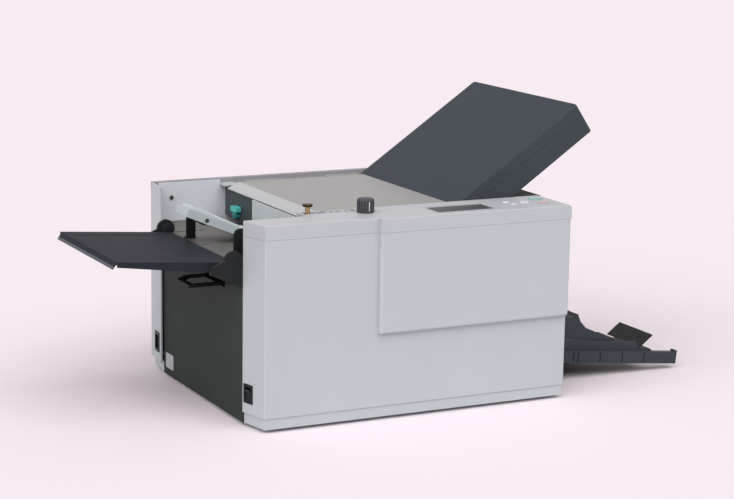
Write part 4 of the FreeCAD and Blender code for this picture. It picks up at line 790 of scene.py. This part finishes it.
@dataclass
class Casing:
    """Covers, end panels, base and the fixings on them."""

    datum: Datum
    plate_low: Place = (0.35, 394.0, 14.0)
    plate_high: Place = (1.0, 432.0, 43.0)
    plate_round: float = 2.0
    plate_border: float = 1.4
    plate_sink: float = 0.15
    plate_edge: float = 0.12
    screw_radius: float = 4.0
    screw_height: float = 2.5
    screw_round: float = 1.4
    screw_land: float = 0.9
    recess_border: float = 0.5
    recess_depth: float = 0.9
    frame_screws: tuple = ((144, 257), (144, 30), (587, 30), (587, 307.5), (279.5, 307.5))
    front_frame_y: float = 98.0
    rear_frame_y: float = 495.0
    panel_screw_y: tuple = (80.0, 430.0)
    panel_screw_z: tuple = (162.0, 314.0)
    panel_x: float = 619.0
    throat_screw: Place = (36.0, 492.0, 329.0)
    shelf_left: float = 167.0
    shelf_low: float = 349.0

    def build(self) -> None:
        """Make the fixings and dress the covers."""
        shelf = self.datum.at(self.shelf_left, 0, self.shelf_low)
        ledge = Zone.of_node("rear_cover", TOP.colour, low_x=shelf.x, low_z=shelf.z)
        dress({
            "base_pan": CASING, "front_cover": CASING, "door_panel": CASING,
            "rear_cover": replace(CASING, name="rear_cover_powder_coat", zone=ledge),
            "rear_cover_rim": RIM_PAINTED_SHADE, "left_end_panel": END, "right_end_panel": END, "rubber_feet": FEET,
            "front_side_frame": ZINC, "rear_side_frame": WALL, "tie_bars": ZINC, "power_inlet": SWITCH,
            "switch_frame": SWITCH, "power_rocker": SWITCH,
        })
        self.bare_plate()
        self.screw_heads()

    def bare_plate(self) -> None:
        """Bare plate with a pressed border, low on the dark end."""
        low, high = self.datum.at(*self.plate_low), self.datum.at(*self.plate_high)
        plate = Bench.block("bare_plate", low, high)
        Bench.bevel(plate, self.plate_round, lambda middle, way: abs(way.x) > 0.9, 5)
        Bench.sink(plate, lambda middle, normal: normal.x < -0.9, self.plate_border, self.plate_sink)
        Bench.bevel(plate, self.plate_edge, lambda middle, way: middle.x < low.x + 0.1 * MM, 2)
        Bench.fit(plate, "casing", "light_steel", PLAIN_PLATE)

    def model_screw(self) -> bpy.types.Object:
        """Pan head with a cross recess, standing at the origin, modelled once."""
        head = Bench.drum("screw_head", Vector((0, 0, self.screw_height / 2 * MM)), self.screw_radius * MM,
                          self.screw_height * MM, Axis.Z.value, 32)
        top = self.screw_height * MM
        Bench.bevel(head, self.screw_round, lambda middle, way: abs(middle.z - top) < 1e-6, 4)
        Bench.edit(head, Select.FACE, lambda middle, normal: normal.z > 0.99)
        bpy.ops.mesh.inset(thickness=self.screw_land * MM)
        bpy.ops.mesh.inset(thickness=self.recess_border * MM, depth=-self.recess_depth * MM)
        Bench.done(25.0)
        return head

    def screw_heads(self) -> None:
        """Screw heads on the frames, the end panel and the throat wall."""
        model = self.model_screw()
        to_front = Euler((math.pi / 2, 0, 0)).to_matrix()
        to_rear = Euler((-math.pi / 2, 0, 0)).to_matrix()
        to_right = Euler((0, math.pi / 2, 0)).to_matrix()
        places = [(self.datum.at(*self.throat_screw), to_front)]
        for x, z in self.frame_screws:
            places.append((self.datum.at(x, self.front_frame_y, z), to_front))
            places.append((self.datum.at(x, self.rear_frame_y, z), to_rear))
        for y in self.panel_screw_y:
            for z in self.panel_screw_z:
                places.append((self.datum.at(self.panel_x, y, z), to_right))
        for number, (place, turn) in enumerate(places):
            piece = Bench.copy(model, f"screw_head_{number + 1:02d}", place, turn)
            Bench.fit(piece, "casing", "zinc_steel", ZINC if number else DARK_SCREW)
            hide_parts("screws")
        bpy.data.objects.remove(model)


@dataclass
class ControlPanel:
    """Top strip with the display, keys, knob and skew adjuster."""

    datum: Datum
    top: float = 360.0
    display: tuple = (352.0, 467.0, 5.0, 60.0)
    frame_width: float = 2.2
    frame_rise: float = 0.7
    frame_corner: float = 2.0
    frame_edge: float = 0.2
    key_flange: float = 1.5
    key_round: float = 0.45
    crown: float = 0.9
    crown_side: float = 0.4
    crown_steps: tuple = ((0.5, 0.28), (0.9, 0.16), (1.2, 0.06))
    knob_x: float = 233.0
    knob_y: float = 59.0
    knob_radius: float = 15.5
    knob_foot: float = 361.5
    knob_top: float = 385.5
    pointer_half: float = 0.9
    pointer_proud: float = 0.2
    pointer_depth: float = 1.0
    pointer_foot: float = 2.0
    pointer_crown: float = 4.5
    pointer_round: float = 0.35
    thumb_head: float = 372.0

    def build(self) -> None:
        """Make the raised details and dress the strip."""
        low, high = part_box("display_window")
        head = Zone.of_node("thumb_screw", BROWN, low_z=self.datum.at(0, 0, self.thumb_head).z)
        dress({
            "control_strip": BAND, "display_window": Window("display_window_glass", low, high),
            "left_key": KEY_PALE, "middle_key": KEY_PALE, "right_key": KEY_PALE,
            "start_key": KEY_GREEN, "stop_key": KEY_RED, "setting_knob": KNOB,
            "adjuster_rail": ZINC,
            "thumb_screw": replace(BRASS, zone=head),
            "circuit_boards": Board("control_board"),
        })
        self.display_frame()
        self.key_crowns()
        self.knob_pointer()

    def display_frame(self) -> None:
        """Thin raised frame round the display."""
        left, right, front, rear = self.display
        width = self.frame_width
        low = self.datum.at(left - width, front - 0.5 * width, self.top)
        high = self.datum.at(right + width, rear + width, self.top + self.frame_rise)
        piece = Bench.block("display_frame", low, high)
        Bench.bevel(piece, self.frame_corner, lambda middle, way: abs(way.z) > 0.9, 5)
        Bench.edit(piece, Select.FACE, lambda middle, normal: abs(normal.z) > 0.9)
        bpy.ops.mesh.inset(thickness=width * 0.9 * MM, use_individual=True)
        bpy.ops.mesh.bridge_edge_loops()
        Bench.done()
        Bench.bevel(piece, self.frame_edge, lambda middle, way: abs(middle.z - high.z) < 1e-6, 2)
        Bench.fit(piece, "casing", "band_grey", BAND)

    def key_crowns(self) -> None:
        """A domed crown on each key."""
        finishes = {"left_key": ("key_pale", KEY_PALE), "middle_key": ("key_pale", KEY_PALE),
                    "right_key": ("key_pale", KEY_PALE), "start_key": ("key_green", KEY_GREEN),
                    "stop_key": ("key_red", KEY_RED)}
        flange = Vector((self.key_flange, self.key_flange, 0)) * MM
        for name, (slot, finish) in finishes.items():
            low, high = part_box(name)
            low, high = low + flange, high - flange
            width = (high.y - low.y) / MM
            foot = Vector((low.x, low.y, high.z))
            brow = Vector((high.x, high.y, high.z + self.crown * self.crown_side * MM))
            piece = Bench.block(name + "_crown", foot, brow)
            Bench.bevel(piece, width * self.key_round, lambda middle, way: abs(way.z) > 0.9, 10)
            Bench.edit(piece, Select.FACE, lambda middle, normal: normal.z > 0.9)
            for border, rise in self.crown_steps:
                bpy.ops.mesh.inset(thickness=border * MM, depth=rise * self.crown * MM)
            Bench.done(40.0)
            Bench.fit(piece, name + "_body", slot, finish)

    def knob_pointer(self) -> None:
        """Pale pointer line down the front of the knob."""
        face = self.knob_y - self.knob_radius
        low = self.datum.at(self.knob_x - self.pointer_half, face - self.pointer_proud,
                            self.knob_foot + self.pointer_foot)
        high = self.datum.at(self.knob_x + self.pointer_half, face + self.pointer_depth,
                             self.knob_top - self.pointer_crown)
        mark = Bench.block("knob_pointer", low, high)
        Bench.bevel(mark, self.pointer_round, lambda middle, way: middle.y < low.y + 0.1 * MM, 3)
        Bench.fit(mark, "setting_knob_body", "key_pale", KNOB_MARK)


@dataclass
class FeedEnd:
    """Throat, tray, guides, feed arm and the levers beside them."""

    datum: Datum
    wall_split_y: float = 337.0
    tray_flange: float = 3.0

    def build(self) -> None:
        """Dress the feed end."""
        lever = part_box("pressure_lever")
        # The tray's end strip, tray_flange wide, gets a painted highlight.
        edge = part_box("feed_tray")[0].x + self.tray_flange * MM
        flange = Zone.of_node("feed_tray", PAINTED_EDGE_HIGHLIGHT, high_x=edge)
        dress({
            "throat_wall": SplitPaint("throat_paint", tone(204, 210, 214), tone(70, 78, 81),
                                      self.datum.at(0, self.wall_split_y, 0).y),
            "feed_table": TABLE_WITH_PAINTED_SHADE, "tray_brackets": BLACK,
            "feed_tray": replace(TRAY, zone=flange),
            "front_guide": BLACK, "rear_guide": BLACK, "tray_lever": LOOP, "feed_arm": ARM,
            "feed_roller": FEED_RUBBER, "top_cover": TOP, "top_cover_lip": LIP,
            "pressure_lever": PaintedFootShade("teal_with_painted_foot_shade", tone(86, 205, 200), tone(60, 150, 150),
                                      (lever[0].z + lever[1].z) / 2),
        })


@dataclass
class FoldPlates:
    """The slanted upper plate, the lower plate and their stops."""

    def build(self) -> None:
        """Dress the plates."""
        dress({
            "upper_plate_cover": PLATE, "upper_plate_base": PLATE, "upper_stop": ZINC,
            "lower_plate": ZINC, "lower_stop": ZINC,
        })


@dataclass
class Stacker:
    """Ribbed exit tray with its arm, wheels and stop."""

    datum: Datum
    cheek_inside: float = 115.4

    def build(self) -> None:
        """Dress the stacker; its bed gets painted shade."""
        # The bed behind the front cheek is painted dark as shade.
        painted_bed_shade = Zone.of_node("stacker_tray", BED_PAINTED_SHADE, low_y=self.datum.at(0, self.cheek_inside, 0).y)
        dress({
            "stacker_tray": replace(STACKER, name="stacker_plastic_painted_bed_shade", zone=painted_bed_shade),
             "exit_arm": STACKER, "exit_roller": FEED_RUBBER,
            "stacker_stop": BLACK, "exit_chute": ZINC,
        })


@dataclass
class Drive:
    """Fold rollers, gears, belt and motor."""

    rollers: int = 4

    def build(self) -> None:
        """Dress the drive."""
        finishes: dict[str, Finish] = {
            "roller_bearings": BRONZE, "drive_motor": MOTOR, "drive_belt": BELT, "motor_pulley": ZINC}
        for number in range(1, self.rollers + 1):
            finishes[f"fold_roller_{number}"] = ROLLER
            finishes[f"fold_gear_{number}"] = GEAR
        dress(finishes)


@dataclass
class Studio:
    """Floor, a soft lamp over the front and one over the left, world and camera."""

    datum: Datum
    ground: Colour = tone(248, 235, 242)
    bounce: Colour = tone(238, 240, 243)
    yaw: float = 26.80
    pitch: float = 11.25
    roll: float = 0.92
    lens: float = 102.2
    sensor: float = 36.0
    sight: float = 200.0
    eye: Place = (-1397.5, -3177.3, 1013.8)
    floor_reach: float = 40.0
    floor_drop: float = 0.0005
    fade: tuple[float, float] = (0.9, 2.2)
    world_light: float = 0.35
    lamps: tuple = (("front_lamp", (0.20, -0.75, 0.95), 1.23, 50.0),
                    ("left_lamp", (-1.10, -0.65, 1.10), 1.69, 60.0))

    def build(self) -> None:
        """Set up the studio."""
        self.floor()
        self.world()
        for name, towards, strength, spread in self.lamps:
            self.lamp(name, towards, strength, spread)
        self.camera()

    def floor(self) -> None:
        """Plain pale floor that runs into the pale background far away."""
        bpy.ops.object.select_all(action="DESELECT")
        bpy.ops.mesh.primitive_plane_add(size=self.floor_reach, location=(0, 0, -self.floor_drop))
        floor = bpy.context.active_object
        floor.name = "floor"
        graph = Graph("floor_paper")
        seen = Field(graph, graph.node("ShaderNodeLightPath").outputs["Is Camera Ray"])
        graph.set(Base_Color=graph.mix(seen, self.bounce, self.ground), Roughness=0.9, Specular_IOR_Level=0.0)
        glow = graph.node("ShaderNodeEmission", inputs={"Color": self.ground, "Strength": 1.0})
        length = graph.node("ShaderNodeVectorMath", {"operation": "LENGTH"}, {0: graph.place})
        far = Field(graph, length.outputs["Value"]).step(*self.fade)
        blend = graph.node("ShaderNodeMixShader", inputs={
            0: far, 1: graph.shader.outputs[0], 2: glow.outputs[0]})
        graph.feed(graph.output.inputs["Surface"], blend.outputs[0])
        floor.data.materials.append(graph.material)

    def world(self) -> None:
        """Even white light, with the pale background where it is seen."""
        world = bpy.data.worlds.new("studio")
        bpy.context.scene.world = world
        world.use_nodes = True
        nodes, links = world.node_tree.nodes, world.node_tree.links
        nodes.clear()
        path = nodes.new("ShaderNodeLightPath")
        seen = None
        for name in ("Is Glossy Ray", "Is Transmission Ray"):
            larger = nodes.new("ShaderNodeMath")
            larger.operation = "MAXIMUM"
            links.new(seen or path.outputs["Is Camera Ray"], larger.inputs[0])
            links.new(path.outputs[name], larger.inputs[1])
            seen = larger.outputs[0]
        light = nodes.new("ShaderNodeBackground")
        light.inputs["Color"].default_value = (1.0, 1.0, 1.0, 1.0)
        light.inputs["Strength"].default_value = self.world_light
        backdrop = nodes.new("ShaderNodeBackground")
        backdrop.inputs["Color"].default_value = (*self.ground, 1.0)
        backdrop.inputs["Strength"].default_value = 1.0
        mix = nodes.new("ShaderNodeMixShader")
        links.new(seen, mix.inputs[0])
        links.new(light.outputs[0], mix.inputs[1])
        links.new(backdrop.outputs[0], mix.inputs[2])
        output = nodes.new("ShaderNodeOutputWorld")
        links.new(mix.outputs[0], output.inputs["Surface"])

    def lamp(self, name: str, towards: Place, strength: float, spread: float) -> None:
        """Hang one far, wide and soft lamp.

        Args:
            name: Name of the lamp.
            towards: Direction from the object to the lamp.
            strength: Its light at the object, in watts per square metre.
            spread: Apparent width of the lamp in degrees.
        """
        data = bpy.data.lights.new(name, "SUN")
        data.energy = strength
        data.angle = math.radians(spread)
        lamp = bpy.data.objects.new(name, data)
        bpy.context.scene.collection.objects.link(lamp)
        lamp.rotation_euler = Vector(towards).to_track_quat("Z", "Y").to_euler()

    def camera(self) -> None:
        """Camera at the photograph's place and angle."""
        yaw, pitch, roll = (math.radians(angle) for angle in (self.yaw, self.pitch, self.roll))
        ahead = Vector((math.sin(yaw) * math.cos(pitch), math.cos(yaw) * math.cos(pitch), -math.sin(pitch)))
        right = Vector((math.cos(yaw), -math.sin(yaw), 0.0))
        up = right.cross(ahead)
        across = math.cos(roll) * right + math.sin(roll) * up
        upward = -math.sin(roll) * right + math.cos(roll) * up
        data = bpy.data.cameras.new("camera")
        data.sensor_width = self.sensor
        data.lens = self.lens
        data.clip_end = self.sight
        camera = bpy.data.objects.new("camera", data)
        bpy.context.scene.collection.objects.link(camera)
        turn = Matrix((across, upward, -ahead)).transposed().to_4x4()
        camera.matrix_world = Matrix.Translation(self.datum.at(*self.eye)) @ turn
        bpy.context.scene.camera = camera


def plain(box: Sequence[Vector]) -> list[list[float]]:
    """Turn a box of two vectors into plain lists."""
    return [[float(part) for part in corner] for corner in box]


def main() -> None:
    """Build the sub-assemblies in order."""
    logging.basicConfig(level=logging.INFO, format="%(message)s")
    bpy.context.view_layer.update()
    datum = Datum()
    for assembly in (Casing(datum), ControlPanel(datum), FeedEnd(datum), FoldPlates(),
                     Stacker(datum), Drive(), Studio(datum)):
        assembly.build()
        LOG.info("built %s", type(assembly).__name__)
    bpy.context.scene.view_settings.view_transform = "Standard"


if __name__ == "__main__":
    main()
